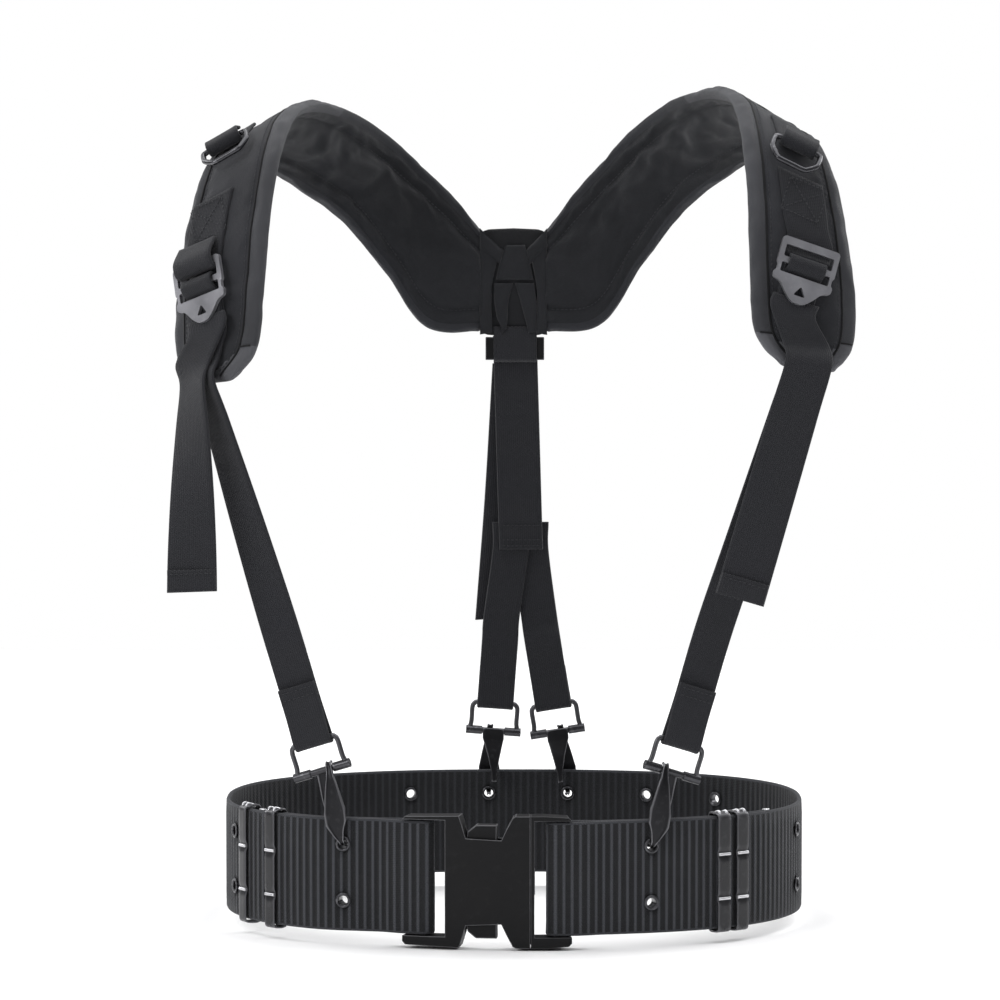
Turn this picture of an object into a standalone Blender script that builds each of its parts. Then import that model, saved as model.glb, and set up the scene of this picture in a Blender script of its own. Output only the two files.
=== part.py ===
"""Padded-suspender duty belt, shown as worn, in metres with +Z up.

The origin is the centre of the waist ring, on the plane of the buckle's lower edge.
+X is the viewer's right, -Y the front with the buckle.  The right half of the belt, from
the hinge line at the back centre round to the male half of the buckle, swings open.
"""
import math

import bmesh
import bpy
from mathutils import Matrix, Vector

# Belt webbing and waist ring
RING_HALF_X = 0.1475
RING_HALF_Y = 0.110
RING_POWER = 2.4
BELT_LOW = 0.006
BELT_HIGH = 0.063
BELT_THICK = 0.0026
BELT_LAYER = 0.0018          # each layer's centre, in or out from the ring's middle line
TAIL_END_X = 0.128           # where the folded inner tails end, left and right of centre
HINGE_X = 0.008
HINGE_Y = RING_HALF_Y
HINGE_GAP = 0.0013

# Buckle, built flat and then laid on an arc about the hinge line
BUCKLE_X = -0.0137
BUCKLE_MID_Z = 0.033
BUCKLE_HALF_HIGH = 0.0330
BUCKLE_RADIUS = math.hypot(BUCKLE_X - HINGE_X, 2 * RING_HALF_Y)
BUCKLE_ANGLE = math.atan2(-2 * RING_HALF_Y, BUCKLE_X - HINGE_X)
BUCKLE_HALF = 0.0418
BUCKLE_THICK = 0.0116
BUCKLE_SEAM = 0.0218
BAR_INNER = {-1: 0.0316, 1: 0.0341}   # the webbing bars, female half (-1) and male half (1)
BAR_OUTER = {-1: 0.0398, 1: 0.0405}
SLOT_INNER = {-1: 0.0203, 1: 0.0235}  # inner side of the slot beside each bar
BAR_THICK = 0.0040
BAR_WRAP = 0.0038            # radius of the webbing's centre round the bar's inner edge
FACET = 0.0125               # width of the flat facets that follow the buckle's arc
PRONG_PIVOT_U = 0.0190       # each prong flexes about this place at its root
PRONG_PIVOT_H = 0.0150

# Eyelets
EYELET_HIGH = 0.0500
EYELET_LOW = 0.0215
EYELET_HOLE = 0.0024
EYELET_FLANGE = 0.0039
CUT_RADIUS = 0.0034

# Suspenders
PAD_THICK = 0.009
PATCH_OFFSET = 0.0059
STRAP_THICK = 0.0016
STRAP_WIDTH = 0.020
WEB_WIDTH = 0.025
LOCK_OFFSET = 0.0102
LOCK_BAR = 0.0005            # middle of the adjuster's top bar, above its frame's origin
LOCK_S = 9.50                # place of the adjuster's top bar along the pad
RING_S = {-1: 7.30, 1: 7.88}  # place of each D-ring's bar along the pad
MIDDLE = {-1: 0.64, 1: 0.53}  # where the straps run across each pad, from its neck edge
LOAD_END = {-1: 0.40, 1: 0.33}  # and where the two webbings leave its lower end
TAIL_END = {-1: 0.62, 1: 0.34}
PAD_STEPS = 3                # rows of faces per pad section

# Hooks
HOOK_BAR_RADIUS = 0.0020
HOOK_WIRE = 0.0013
LOOP_HALF = 0.0124
LOOP_HEIGHT = 0.0155
HOOK_LONG = 0.0380
HOOK_SHORT = 0.0345

UP = Vector((0, 0, 1))
COLLECTION = "tool_belt"

# One shoulder pad: neck edge and outer edge of each section, from the yoke over the
# shoulder to the front tip, for the right side.
PAD_SECTIONS = [
    ((0.0165, 0.0960, 0.3590), (0.0165, 0.0960, 0.3040)),
    ((0.0330, 0.0960, 0.3790), (0.0470, 0.0940, 0.3080)),
    ((0.0490, 0.0920, 0.3970), (0.0700, 0.0880, 0.3400)),
    ((0.0660, 0.0810, 0.4150), (0.0930, 0.0740, 0.3700)),
    ((0.0820, 0.0600, 0.4270), (0.1170, 0.0480, 0.3890)),
    ((0.0960, 0.0310, 0.4320), (0.1370, 0.0180, 0.4000)),
    ((0.1060, -0.0030, 0.4310), (0.1500, -0.0160, 0.4030)),
    ((0.1120, -0.0390, 0.4230), (0.1570, -0.0460, 0.3970)),
    ((0.1150, -0.0680, 0.4030), (0.1630, -0.0660, 0.3800)),
    ((0.1170, -0.0840, 0.3720), (0.1680, -0.0745, 0.3520)),
    ((0.1175, -0.0910, 0.3380), (0.1710, -0.0785, 0.3230)),
    ((0.1200, -0.0940, 0.3060), (0.1700, -0.0815, 0.2990)),
    ((0.1330, -0.0945, 0.2890), (0.1600, -0.0870, 0.2850)),
]
LEFT_DROP = 0.007            # the left shoulder sits a little lower
LEFT_TURN = 0.020            # and its front is turned, with the outer edge further back
LEFT_SHIFT = 0.009           # and the neck edge further out


# ---------------------------------------------------------------- scene and materials

def clear_scene():
    for obj in list(bpy.data.objects):
        bpy.data.objects.remove(obj, do_unlink=True)


def get_collection(name):
    found = bpy.data.collections.get(name)
    if found is None:
        found = bpy.data.collections.new(name)
        bpy.context.scene.collection.children.link(found)
    return found


def material(name, color, roughness, metallic=0.0):
    mat = bpy.data.materials.get(name)
    if mat is None:
        mat = bpy.data.materials.new(name)
        mat.use_nodes = True
        shader = mat.node_tree.nodes["Principled BSDF"]
        shader.inputs["Base Color"].default_value = (*color, 1.0)
        shader.inputs["Roughness"].default_value = roughness
        shader.inputs["Metallic"].default_value = metallic
    return mat


FINISH = {
    "belt": ((0.022, 0.023, 0.026), 0.75, 0.0),
    "webbing": ((0.026, 0.027, 0.031), 0.80, 0.0),
    "lining": ((0.016, 0.017, 0.019), 0.85, 0.0),
    "cover": ((0.022, 0.023, 0.026), 0.80, 0.0),
    "trim": ((0.120, 0.122, 0.130), 0.75, 0.0),
    "plastic": ((0.009, 0.009, 0.010), 0.40, 0.0),
    "black_metal": ((0.020, 0.020, 0.022), 0.30, 0.9),
    "satin_metal": ((0.380, 0.380, 0.400), 0.38, 0.9),
}


def finish(obj, name, look):
    """Name the object, give it its own material and put it with the parts."""
    obj.name = name
    obj.data.name = name
    color, roughness, metallic = FINISH[look]
    obj.data.materials.clear()
    obj.data.materials.append(material(name, color, roughness, metallic))
    for old in list(obj.users_collection):
        old.objects.unlink(obj)
    get_collection(COLLECTION).objects.link(obj)
    return obj


# ---------------------------------------------------------------- frames and paths

def frame_at(origin, out, lean_deg=0.0, up=UP):
    """Local axes at a place: u across, v up (leaning towards +u), w outwards."""
    w = out.normalized()
    u = up.cross(w).normalized()
    v = w.cross(u)
    turn = Matrix.Rotation(-math.radians(lean_deg), 3, w)
    u, v = turn @ u, turn @ v
    rot = Matrix((u, v, w)).transposed().to_4x4()
    return Matrix.Translation(origin) @ rot


def smoothstep(x):
    x = min(max(x, 0.0), 1.0)
    return x * x * (3 - 2 * x)


def catmull(points, t):
    """Point at parameter t on a smooth curve through the points."""
    last = len(points) - 1
    i = min(int(t), last - 1)
    f = t - i
    p1, p2 = points[i], points[i + 1]
    p0 = points[i - 1] if i > 0 else p1 * 2 - p2
    p3 = points[i + 2] if i + 2 <= last else p2 * 2 - p1
    return 0.5 * (2 * p1 + (p2 - p0) * f + (2 * p0 - 5 * p1 + 4 * p2 - p3) * f * f
                  + (3 * p1 - p0 - 3 * p2 + p3) * f ** 3)


def buckle_point(u, w, z):
    """A place given along (u), out from (w) and up (z) the buckle, on its arc."""
    angle = BUCKLE_ANGLE + u / BUCKLE_RADIUS
    radius = BUCKLE_RADIUS + w
    return Vector((HINGE_X + radius * math.cos(angle), HINGE_Y + radius * math.sin(angle), z))


def facet_point(u, w, z):
    """A place on the faceted buckle, straight between the arc points at its facet's edges."""
    left = (math.floor(u / FACET + 0.5) - 0.5) * FACET
    return buckle_point(left, w, z).lerp(buckle_point(left + FACET, w, z), (u - left) / FACET)


def ring_xy(angle, side):
    """Middle line of the ring: angle 0 at the back centre, pi at the front."""
    power = 2 / RING_POWER
    x = side * RING_HALF_X * abs(math.sin(angle)) ** power
    y = math.copysign(RING_HALF_Y * abs(math.cos(angle)) ** power, math.cos(angle))
    if y < 0:
        near = 1 - smoothstep((abs(x - BUCKLE_X) - 0.044) / 0.045)
        arc = HINGE_Y - math.sqrt(BUCKLE_RADIUS ** 2 - (x - HINGE_X) ** 2)
        y += (arc - y) * near
    return Vector((x, y, 0))


def half_ring(side):
    """Dense middle line from the buckle bar round one side to the hinge gap."""
    start = buckle_point(side * BAR_INNER[side], 0, 0)
    points = [start]
    steps = 720
    for i in range(steps, -1, -1):
        p = ring_xy(math.pi * i / steps, side)
        if p.y < 0 and side * (p.x - start.x) <= 0.001:
            continue
        if p.y > 0 and side > 0 and p.x < HINGE_X + HINGE_GAP:
            continue
        points.append(p)
    points.append(Vector((HINGE_X + side * HINGE_GAP, HINGE_Y, 0)))
    return points


def place_on(points, distance):
    """Point and outward normal at a distance along a dense level line."""
    run = 0.0
    for a, b in zip(points, points[1:]):
        step = (b - a).length
        if run + step >= distance or b is points[-1]:
            t = (b - a).normalized()
            out = Vector((t.y, -t.x, 0))
            p = a + t * (distance - run)
            return p, (out if out.dot(p) > 0 else -out)
        run += step
    raise ValueError(distance)


def belt_frame(x, front, z, lean=0.0):
    """Frame on the ring's middle line at a given x, on the front or the back run."""
    side = -1 if x < HINGE_X else 1
    best = None
    for i in range(1, 1440):
        p = ring_xy(math.pi * i / 1440, side)
        if (p.y < 0) == front and (best is None or abs(p.x - x) < abs(best[0].x - x)):
            best = (p, ring_xy(math.pi * (i + 1) / 1440, side) - p)
    p, t = best
    out = Vector((t.y, -t.x, 0)).normalized()
    if out.dot(p) < 0:
        out.negate()
    return frame_at(Vector((p.x, p.y, z)), out, lean)


# ---------------------------------------------------------------- shape makers

def grid_mesh(name, rows):
    """Open surface through rows of points."""
    mesh = bpy.data.meshes.new(name)
    bm = bmesh.new()
    verts = [[bm.verts.new(p) for p in row] for row in rows]
    for low, high in zip(verts, verts[1:]):
        for i in range(len(low) - 1):
            bm.faces.new((low[i], low[i + 1], high[i + 1], high[i]))
    bm.to_mesh(mesh)
    bm.free()
    return bpy.data.objects.new(name, mesh)


def sheet(name, look, rows, thickness):
    """A strap, panel or pad: an open surface given its thickness evenly both ways."""
    obj = finish(grid_mesh(name, rows), name, look)
    solid = obj.modifiers.new("thickness", "SOLIDIFY")
    solid.thickness = thickness
    solid.offset = 0
    solid.use_even_offset = True
    return obj


def flat_outline(name, outlines, depth, matrix=Matrix()):
    """A flat plate from closed outlines, the later ones being holes in the first."""
    curve = bpy.data.curves.new(name, "CURVE")
    curve.dimensions = "2D"
    curve.fill_mode = "BOTH"
    curve.extrude = depth / 2
    for points in outlines:
        spline = curve.splines.new("POLY")
        spline.points.add(len(points) - 1)
        for slot, (x, y) in zip(spline.points, points):
            slot.co = (x, y, 0, 1)
        spline.use_cyclic_u = True
    obj = bpy.data.objects.new(name, curve)
    obj.matrix_world = matrix
    bpy.context.scene.collection.objects.link(obj)
    return obj


def face_out(bm):
    """Turn all faces of a closed body outwards."""
    bmesh.ops.recalc_face_normals(bm, faces=bm.faces)
    if bm.calc_volume(signed=True) < 0:
        bmesh.ops.reverse_faces(bm, faces=bm.faces)


def to_mesh(obj):
    """The evaluated curve as a welded mesh object in its place."""
    bpy.context.view_layer.update()
    graph = bpy.context.evaluated_depsgraph_get()
    mesh = bpy.data.meshes.new_from_object(obj.evaluated_get(graph))
    bm = bmesh.new()
    bm.from_mesh(mesh)
    bmesh.ops.remove_doubles(bm, verts=bm.verts, dist=1e-6)
    face_out(bm)
    bm.to_mesh(mesh)
    bm.free()
    solid = bpy.data.objects.new(obj.name, mesh)
    solid.matrix_world = obj.matrix_world
    bpy.data.objects.remove(obj, do_unlink=True)
    bpy.context.scene.collection.objects.link(solid)
    return solid


def box(low, high):
    """A plain box as a mesh object."""
    mesh = bpy.data.meshes.new("box")
    bm = bmesh.new()
    size = [b - a for a, b in zip(low, high)]
    middle = [(a + b) / 2 for a, b in zip(low, high)]
    place = Matrix.Translation(middle) @ Matrix.Diagonal((*size, 1))
    bmesh.ops.create_cube(bm, size=1.0, matrix=place)
    bm.to_mesh(mesh)
    bm.free()
    obj = bpy.data.objects.new("box", mesh)
    bpy.context.scene.collection.objects.link(obj)
    return obj


def rod(radius, length, sides, matrix=Matrix()):
    """A cylinder along its local Z."""
    mesh = bpy.data.meshes.new("rod")
    bm = bmesh.new()
    bmesh.ops.create_cone(bm, cap_ends=True, segments=sides,
                          radius1=radius, radius2=radius, depth=length)
    bm.to_mesh(mesh)
    bm.free()
    mesh.shade_smooth()
    mesh.set_sharp_from_angle(angle=math.radians(40))
    obj = bpy.data.objects.new("rod", mesh)
    obj.matrix_world = matrix
    bpy.context.scene.collection.objects.link(obj)
    return obj


def combine(target, tool, operation):
    """Boolean of two objects, kept as a modifier; the tool goes with the cutters."""
    mod = target.modifiers.new(operation.lower(), "BOOLEAN")
    mod.operation = operation
    mod.solver = "EXACT"
    mod.object = tool
    tool.name = target.name + "_" + operation.lower()
    tool.hide_render = True
    tool.display_type = "WIRE"
    for old in list(tool.users_collection):
        old.objects.unlink(tool)
    get_collection("cutters").objects.link(tool)


def wire(name, look, points, radius, cyclic=False, matrix=Matrix()):
    """A bent round wire."""
    curve = bpy.data.curves.new(name, "CURVE")
    curve.dimensions = "3D"
    curve.bevel_depth = radius
    curve.bevel_resolution = 2
    curve.use_fill_caps = True
    spline = curve.splines.new("POLY")
    spline.points.add(len(points) - 1)
    for slot, p in zip(spline.points, points):
        slot.co = (*p, 1)
    spline.use_cyclic_u = cyclic
    obj = bpy.data.objects.new(name, curve)
    obj.matrix_world = matrix
    return finish(obj, name, look)


# ---------------------------------------------------------------- belt webbing

def wrap_offset(distance):
    """How far each webbing layer lies from the middle line, near and away from the bar."""
    return BELT_LAYER + (BAR_WRAP - BELT_LAYER) * (1 - smoothstep((distance - 0.010) / 0.014))


def belt_rows(side):
    """Rows of the webbing: inner tail, round the buckle bar, and out round the ring."""
    line = half_ring(side)
    total = sum((b - a).length for a, b in zip(line, line[1:]))
    tail = 0.0
    while True:
        p, _ = place_on(line, tail)
        if side * p.x >= TAIL_END_X:
            break
        tail += 0.0005
    places = []
    count = round(tail / 0.0085)
    for i in range(count, 0, -1):
        d = tail * i / count
        p, out = place_on(line, d)
        places.append(p - out * wrap_offset(d))
    pivot, out = place_on(line, 0.0)
    inward = (buckle_point(0, 0, 0) - pivot).normalized()
    for i in range(7):
        a = math.pi * i / 6
        places.append(pivot + inward * BAR_WRAP * math.sin(a) - out * BAR_WRAP * math.cos(a))
    count = round(total / 0.0085)
    for i in range(1, count + 1):
        d = total * i / count
        p, out = place_on(line, d)
        places.append(p + out * wrap_offset(d))
    return [(p + UP * BELT_LOW, p + UP * BELT_HIGH) for p in places]


def belt_webbing(name, side, holes):
    """One half of the belt, with its eyelet holes."""
    obj = sheet(name, "belt", belt_rows(side), BELT_THICK)
    for i, place in enumerate(holes):
        cutter = rod(CUT_RADIUS, 0.02, 12, place)
        combine(obj, cutter, "DIFFERENCE")
        cutter.name = f"{name}_hole_{i}"
    return obj


def eyelet(name, place, layers):
    """A turned metal eyelet through one or two layers of webbing."""
    top = BELT_LAYER + BELT_THICK / 2 + 0.0011
    low = -top if layers == 2 else BELT_LAYER - BELT_THICK / 2 - 0.0011
    lip = 0.0008
    barrel = EYELET_HOLE + 0.0006
    profile = [(EYELET_HOLE, top), (EYELET_FLANGE, top),
               (EYELET_FLANGE, top - lip), (barrel, top - lip),
               (barrel, low + lip), (EYELET_FLANGE, low + lip),
               (EYELET_FLANGE, low), (EYELET_HOLE, low)]
    mesh = bpy.data.meshes.new(name)
    bm = bmesh.new()
    verts = [bm.verts.new((r, 0, z)) for r, z in profile]
    for a, b in zip(verts, verts[1:] + verts[:1]):
        bm.edges.new((a, b))
    bm.to_mesh(mesh)
    bm.free()
    obj = finish(bpy.data.objects.new(name, mesh), name, "black_metal")
    obj.matrix_world = place
    turn = obj.modifiers.new("turned", "SCREW")
    turn.steps = 12
    turn.render_steps = 12
    turn.use_merge_vertices = True
    turn.merge_threshold = 1e-5
    return obj


def end_clip(name, side):
    """Folded metal clip on the end of an inner webbing tail."""
    line = half_ring(side)
    distance = 0.0
    while side * place_on(line, distance)[0].x < TAIL_END_X:
        distance += 0.0005
    p, out = place_on(line, distance + 0.0026)
    place = frame_at(p - out * (BELT_LAYER + 0.0002) + UP * (BELT_LOW + BELT_HIGH) / 2, out)
    obj = box((-0.0020, -0.0287, -0.0012), (0.0020, 0.0287, 0.0012))
    obj.matrix_world = place
    return finish(obj, name, "satin_metal")


KEEPERS = {                  # place along X, and width
    "left_outer": (-0.1345, 0.0070),
    "left_inner": (-0.1205, 0.0070),
    "right_inner": (0.1030, 0.0075),
    "right_outer": (0.1120, 0.0075),
}


def keeper_frame(x):
    return belt_frame(x, True, (BELT_LOW + BELT_HIGH) / 2)


def keeper(name, x, width):
    """A closed metal band round the belt, free to slide along it."""
    half_h, half_w, wall = 0.0297, 0.0046, 0.0011
    frame = keeper_frame(x)
    w, t = frame.col[2].xyz, frame.col[0].xyz
    rot = Matrix((w, UP, w.cross(UP))).transposed().to_4x4()
    place = Matrix.Translation(frame.translation) @ rot
    outlines = []
    for grow, cut in ((wall, 0.0016), (0.0, 0.0009)):
        a, b = half_w + grow, half_h + grow
        outlines.append([(a, b - cut), (a - cut, b), (cut - a, b), (-a, b - cut),
                         (-a, cut - b), (cut - a, -b), (a - cut, -b), (a, cut - b)])
    obj = flat_outline(name, outlines, width, place)
    return finish(obj, name, "black_metal")


# ---------------------------------------------------------------- buckle

def lay_on_arc(obj, name):
    """Apply the booleans, slice the flat buckle part and lay it on the buckle's arc."""
    bpy.context.view_layer.update()
    graph = bpy.context.evaluated_depsgraph_get()
    mesh = bpy.data.meshes.new_from_object(obj.evaluated_get(graph))
    bm = bmesh.new()
    bm.from_mesh(mesh)
    bmesh.ops.remove_doubles(bm, verts=bm.verts, dist=1e-6)
    for i in range(-3, 3):
        geom = bm.verts[:] + bm.edges[:] + bm.faces[:]
        edge = ((i + 0.5) * FACET, 0, 0)
        bmesh.ops.bisect_plane(bm, geom=geom, dist=1e-6, plane_co=edge, plane_no=(1, 0, 0))
    for v in bm.verts:
        u, h, w = v.co
        v.co = facet_point(u, w, BUCKLE_MID_Z + h)
    face_out(bm)
    bm.to_mesh(mesh)
    bm.free()
    laid = finish(bpy.data.objects.new(name, mesh), name, "plastic")
    for mod in list(obj.modifiers):
        if mod.object:
            bpy.data.objects.remove(mod.object, do_unlink=True)
    bpy.data.objects.remove(obj, do_unlink=True)
    return laid


def mirrored(points):
    """Close an upper outline with its mirror image below."""
    return points + [(u, -h) for u, h in reversed(points)]


def cut_webbing_bar(obj, side):
    """Slot and thinned bar that the webbing folds round, at one end of the buckle."""
    low = BELT_LOW - 0.0006 - BUCKLE_MID_Z
    high = BELT_HIGH + 0.0006 - BUCKLE_MID_Z
    slot = sorted((side * SLOT_INNER[side], side * BAR_INNER[side]))
    combine(obj, box((slot[0], low, -0.01), (slot[1], high, 0.01)), "DIFFERENCE")
    reach = sorted((side * (BAR_INNER[side] - 0.001), side * 0.06))
    for back, front in ((BAR_THICK / 2, 0.01), (-0.01, -BAR_THICK / 2)):
        combine(obj, box((reach[0], low, back), (reach[1], high, front)), "DIFFERENCE")
    end = sorted((side * BAR_OUTER[side], side * 0.06))
    combine(obj, box((end[0], low, -0.01), (end[1], high, 0.01)), "DIFFERENCE")


def buckle_female():
    """Housing with the left webbing bar, the press windows and the prong cavity."""
    upper = [(-BUCKLE_HALF, 0.0305), (-0.0403, 0.0322), (-0.0134, BUCKLE_HALF_HIGH),
             (-0.0122, 0.0296), (-0.0099, 0.0218), (0.0074, 0.0210), (0.0098, 0.0262),
             (0.0130, 0.0322), (0.0144, BUCKLE_HALF_HIGH), (BUCKLE_SEAM - 0.0003, BUCKLE_HALF_HIGH)]
    obj = to_mesh(flat_outline("female_flat", [mirrored(upper)], BUCKLE_THICK))
    cut_webbing_bar(obj, -1)
    combine(obj, box((-0.0116, -0.0294, -0.0041), (0.03, 0.0294, 0.0041)), "DIFFERENCE")
    return lay_on_arc(obj, "buckle_female_housing")


def buckle_male():
    """Frame with the right webbing bar, and the tongue that guides it into the housing."""
    upper = [(BUCKLE_SEAM, BUCKLE_HALF_HIGH), (0.0290, BUCKLE_HALF_HIGH),
             (0.0403, 0.0322), (BUCKLE_HALF, 0.0305)]
    obj = to_mesh(flat_outline("male_flat", [mirrored(upper)], BUCKLE_THICK))
    cut_webbing_bar(obj, 1)
    tongue = box((-0.0060, -0.0062, -0.0036), (BUCKLE_SEAM + 0.002, 0.0062, 0.0036))
    combine(obj, tongue, "UNION")
    return lay_on_arc(obj, "buckle_male_frame")


def prong(name, side):
    """Spring arm with its press tab, above (1) or below (-1) the tongue."""
    points = [(0.0212, 0.0122), (0.0212, 0.0180), (0.0050, 0.0188), (0.0052, 0.0284),
              (-0.0052, 0.0284), (-0.0094, 0.0250), (-0.0104, 0.0180), (-0.0088, 0.0140), (0.0, 0.0122)]
    obj = to_mesh(flat_outline("prong_flat", [[(u, side * h) for u, h in points]], 0.0074))
    return lay_on_arc(obj, name)


# ---------------------------------------------------------------- shoulder pads

def pad_point(side, s, t, offset=0.0):
    """Place on a pad: s along it, t across (0 neck edge, 1 outer edge), offset outwards."""
    def edge(which, at):
        p = catmull([Vector(pair[which]) for pair in PAD_SECTIONS], at)
        if side < 0:
            p.z -= LEFT_DROP * smoothstep(at / 4)
            p.y += which * LEFT_TURN * smoothstep((at - 5.5) / 3.5)
            p.x += (1 - which) * LEFT_SHIFT * smoothstep((at - 6) / 5)
        p.x *= side
        return p

    def flat(at, across):
        return edge(0, at).lerp(edge(1, at), across)

    p = flat(s, t)
    if offset:
        last = len(PAD_SECTIONS) - 1
        along = flat(min(s + 0.05, last), t) - flat(max(s - 0.05, 0), t)
        across = flat(s, 1) - flat(s, 0)
        out = along.cross(across).normalized() * side
        p += out * offset
    return p


def pad_patch(name, look, side, span, across, offset, thickness, columns=3):
    """A panel that lies along a stretch of a pad."""
    rows = []
    steps = max(1, round((span[1] - span[0]) * PAD_STEPS))
    for i in range(steps + 1):
        s = span[0] + (span[1] - span[0]) * i / steps
        rows.append([pad_point(side, s, across[0] + (across[1] - across[0]) * j / columns, offset)
                     for j in range(columns + 1)])
    return sheet(name, look, rows, thickness)


def pad_frame(side, s, t, offset):
    """Frame lying on a pad, v pointing up the strap."""
    p = pad_point(side, s, t, offset)
    out = (pad_point(side, s, t, offset + 0.001) - p).normalized()
    across = (pad_point(side, s, 1, 0) - pad_point(side, s, 0, 0)).normalized() * side
    v = out.cross(across).normalized()
    rot = Matrix((v.cross(out), v, out)).transposed().to_4x4()
    return Matrix.Translation(p) @ rot


def pad_station(side, s, t, offset):
    """Strap station lying across a pad."""
    across = (pad_point(side, s, 1) - pad_point(side, s, 0)).normalized() * side
    return pad_point(side, s, t, offset), across


def yoke_panel():
    """Upright panel that joins the two pads at the back."""
    half, low, high = 0.0160, 0.3030, 0.3600
    rows = []
    for i in range(5):
        z = low + (high - low) * i / 4
        rows.append([Vector((u * half, 0.0960 + 0.0010 * (1 - u * u), z)) for u in (-1, -0.5, 0, 0.5, 1)])
    return sheet("yoke_panel", "lining", rows, 0.0070)


# ---------------------------------------------------------------- straps

def strap(name, look, stations, width):
    """Webbing through stations of a centre and a direction across."""
    rows = [(c - a.normalized() * width / 2, c + a.normalized() * width / 2) for c, a in stations]
    return sheet(name, look, rows, STRAP_THICK)


def smooth_stations(stations, per_span):
    """More stations on a smooth run through the given ones."""
    centres = [c for c, _ in stations]
    acrosses = [a for _, a in stations]
    last = len(stations) - 1
    places = [i / per_span for i in range(last * per_span + 1)]
    return [(catmull(centres, t), catmull(acrosses, t)) for t in places]


def between(a, b, fraction):
    """The station part of the way from one to another."""
    return a[0].lerp(b[0], fraction), a[1].lerp(b[1], fraction)


def fold_stations(frame, bar_radius, back, start=0.0):
    """Down one side of a bar, round it, and back up the outer side."""
    radius = bar_radius + 0.0004 + STRAP_THICK / 2
    u = frame.col[0].xyz
    flat = [(start, -radius)] if start else []
    flat += [(-radius * math.sin(math.pi * i / 6), -radius * math.cos(math.pi * i / 6)) for i in range(7)]
    flat += [(0.003, radius), (back * 0.5, 0.0013), (back, 0.0012)]
    return [(frame @ Vector((0, v, w)), u) for v, w in flat]


def loop_top(hook):
    """Frame on the upper bar of a hook's strap loop."""
    return hook @ Matrix.Translation((0, LOOP_HEIGHT, 0))


def lock_frame(side):
    return pad_frame(side, LOCK_S, MIDDLE[side], LOCK_OFFSET)


def tail_pivot(side):
    return lock_frame(side) @ Matrix.Translation((0, -0.0345, -0.0023))


def load_strap(name, side, hook):
    """From the adjuster down to the hook: over the adjuster's bar, behind it and away."""
    lock = lock_frame(side)
    u = lock.col[0].xyz
    through = [(-0.0340, -0.0023), (-0.0250, -0.0023), (-0.0165, -0.0023), (-0.0150, -0.0022),
               (-0.0130, 0.0), (-0.0118, 0.0019), (-0.0098, 0.0030)]
    through += [(-0.0090 + 0.0031 * math.sin(a), 0.0031 * math.cos(a)) for a in
                [math.pi * i / 6 for i in range(1, 6)]]
    through += [(-0.0100, -0.0034), (-0.0130, -0.0043), (-0.0250, -0.0043), (-0.0350, -0.0043)]
    stations = [(lock @ Vector((0, v, w)), u) for v, w in through]
    top = loop_top(hook)
    leaves = pad_station(side, 12, LOAD_END[side], 0.0078)
    near = (top @ Vector((0, 0.060, -0.0016)), top.col[0].xyz)
    down = [stations[-1], pad_station(side, 11.25, (MIDDLE[side] + LOAD_END[side]) / 2, 0.0070), leaves]
    down += [between(leaves, near, f) for f in (0.15, 0.4, 0.7, 1.0)]
    down.append((top @ Vector((0, 0.020, -0.0012)), top.col[0].xyz))
    stations += smooth_stations(down, 2)[1:]
    stations += fold_stations(top, HOOK_WIRE, 0.029)
    return strap(name, "webbing", stations, STRAP_WIDTH)


def strap_tail(name, side, end):
    """Free end of the strap, hanging from below the adjuster."""
    pivot = tail_pivot(side)
    across = pivot.col[0].xyz
    end = Vector(end)
    leaves = pad_station(side, 12, TAIL_END[side], 0.0130)
    over = leaves[0]
    face = Vector((over.z - end.z, 0, end.x - over.x)).normalized()
    halfway = (MIDDLE[side] + TAIL_END[side]) / 2
    stations = [(pivot.translation, across), pad_station(side, 11.25, halfway, 0.0104)]
    stations += [between(leaves, (end, face), f) for f in (0.0, 0.2, 0.55, 1.0)]
    return strap(name, "webbing", smooth_stations(stations, 3), WEB_WIDTH)


def anchor_webbing(name, side):
    """Box-stitched webbing on the pad, folded round the adjuster's top bar."""
    lock = lock_frame(side)
    bar = lock @ Matrix.Translation((0, LOCK_BAR, 0))
    stations = [pad_station(side, LOCK_S + ds, MIDDLE[side], PATCH_OFFSET + 0.0002)
                for ds in (-1.15, -0.9, -0.65, -0.4)]
    stations += fold_stations(bar, 0.0023, 0.010)
    return strap(name, "webbing", stations, WEB_WIDTH)


def adjuster(name, side):
    """Ladder-lock frame with two slots and a lift tab with a hole."""
    def rect(low, high, half=0.0132):
        return [(-half, low), (half, low), (half, high), (-half, high)]
    outer = [(-0.0155, 0.0015), (-0.0145, 0.0025), (0.0145, 0.0025), (0.0155, 0.0015),
             (0.0155, -0.0250), (0.0120, -0.0305), (0.0050, -0.0325), (-0.0050, -0.0325),
             (-0.0120, -0.0305), (-0.0155, -0.0250)]
    hole = [(0.0026 * math.cos(a), -0.0250 + 0.0026 * math.sin(a)) for a in
            [2 * math.pi * i / 12 for i in range(12)]]
    outlines = [outer, rect(-0.0075, -0.0015), rect(-0.0155, -0.0105), hole]
    return finish(flat_outline(name, outlines, 0.0022, lock_frame(side)), name, "satin_metal")


# ---------------------------------------------------------------- D-rings

def d_ring_frame(side):
    """Frame at the straight bar of a D-ring, which lies on the pad."""
    return pad_frame(side, RING_S[side], MIDDLE[side], 0.0094)


def d_ring(name, side):
    half, drop = 0.0125, 0.0160
    points = [(-half, 0, 0), (0, 0, 0), (half, 0, 0)]
    for i in range(0, 9):
        a = math.pi * i / 8
        points.append((half * 1.02 * math.cos(a), -0.0042 - (drop - 0.0042) * math.sin(a), 0))
    return wire(name, "black_metal", points, 0.0017, True, d_ring_frame(side))


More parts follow.
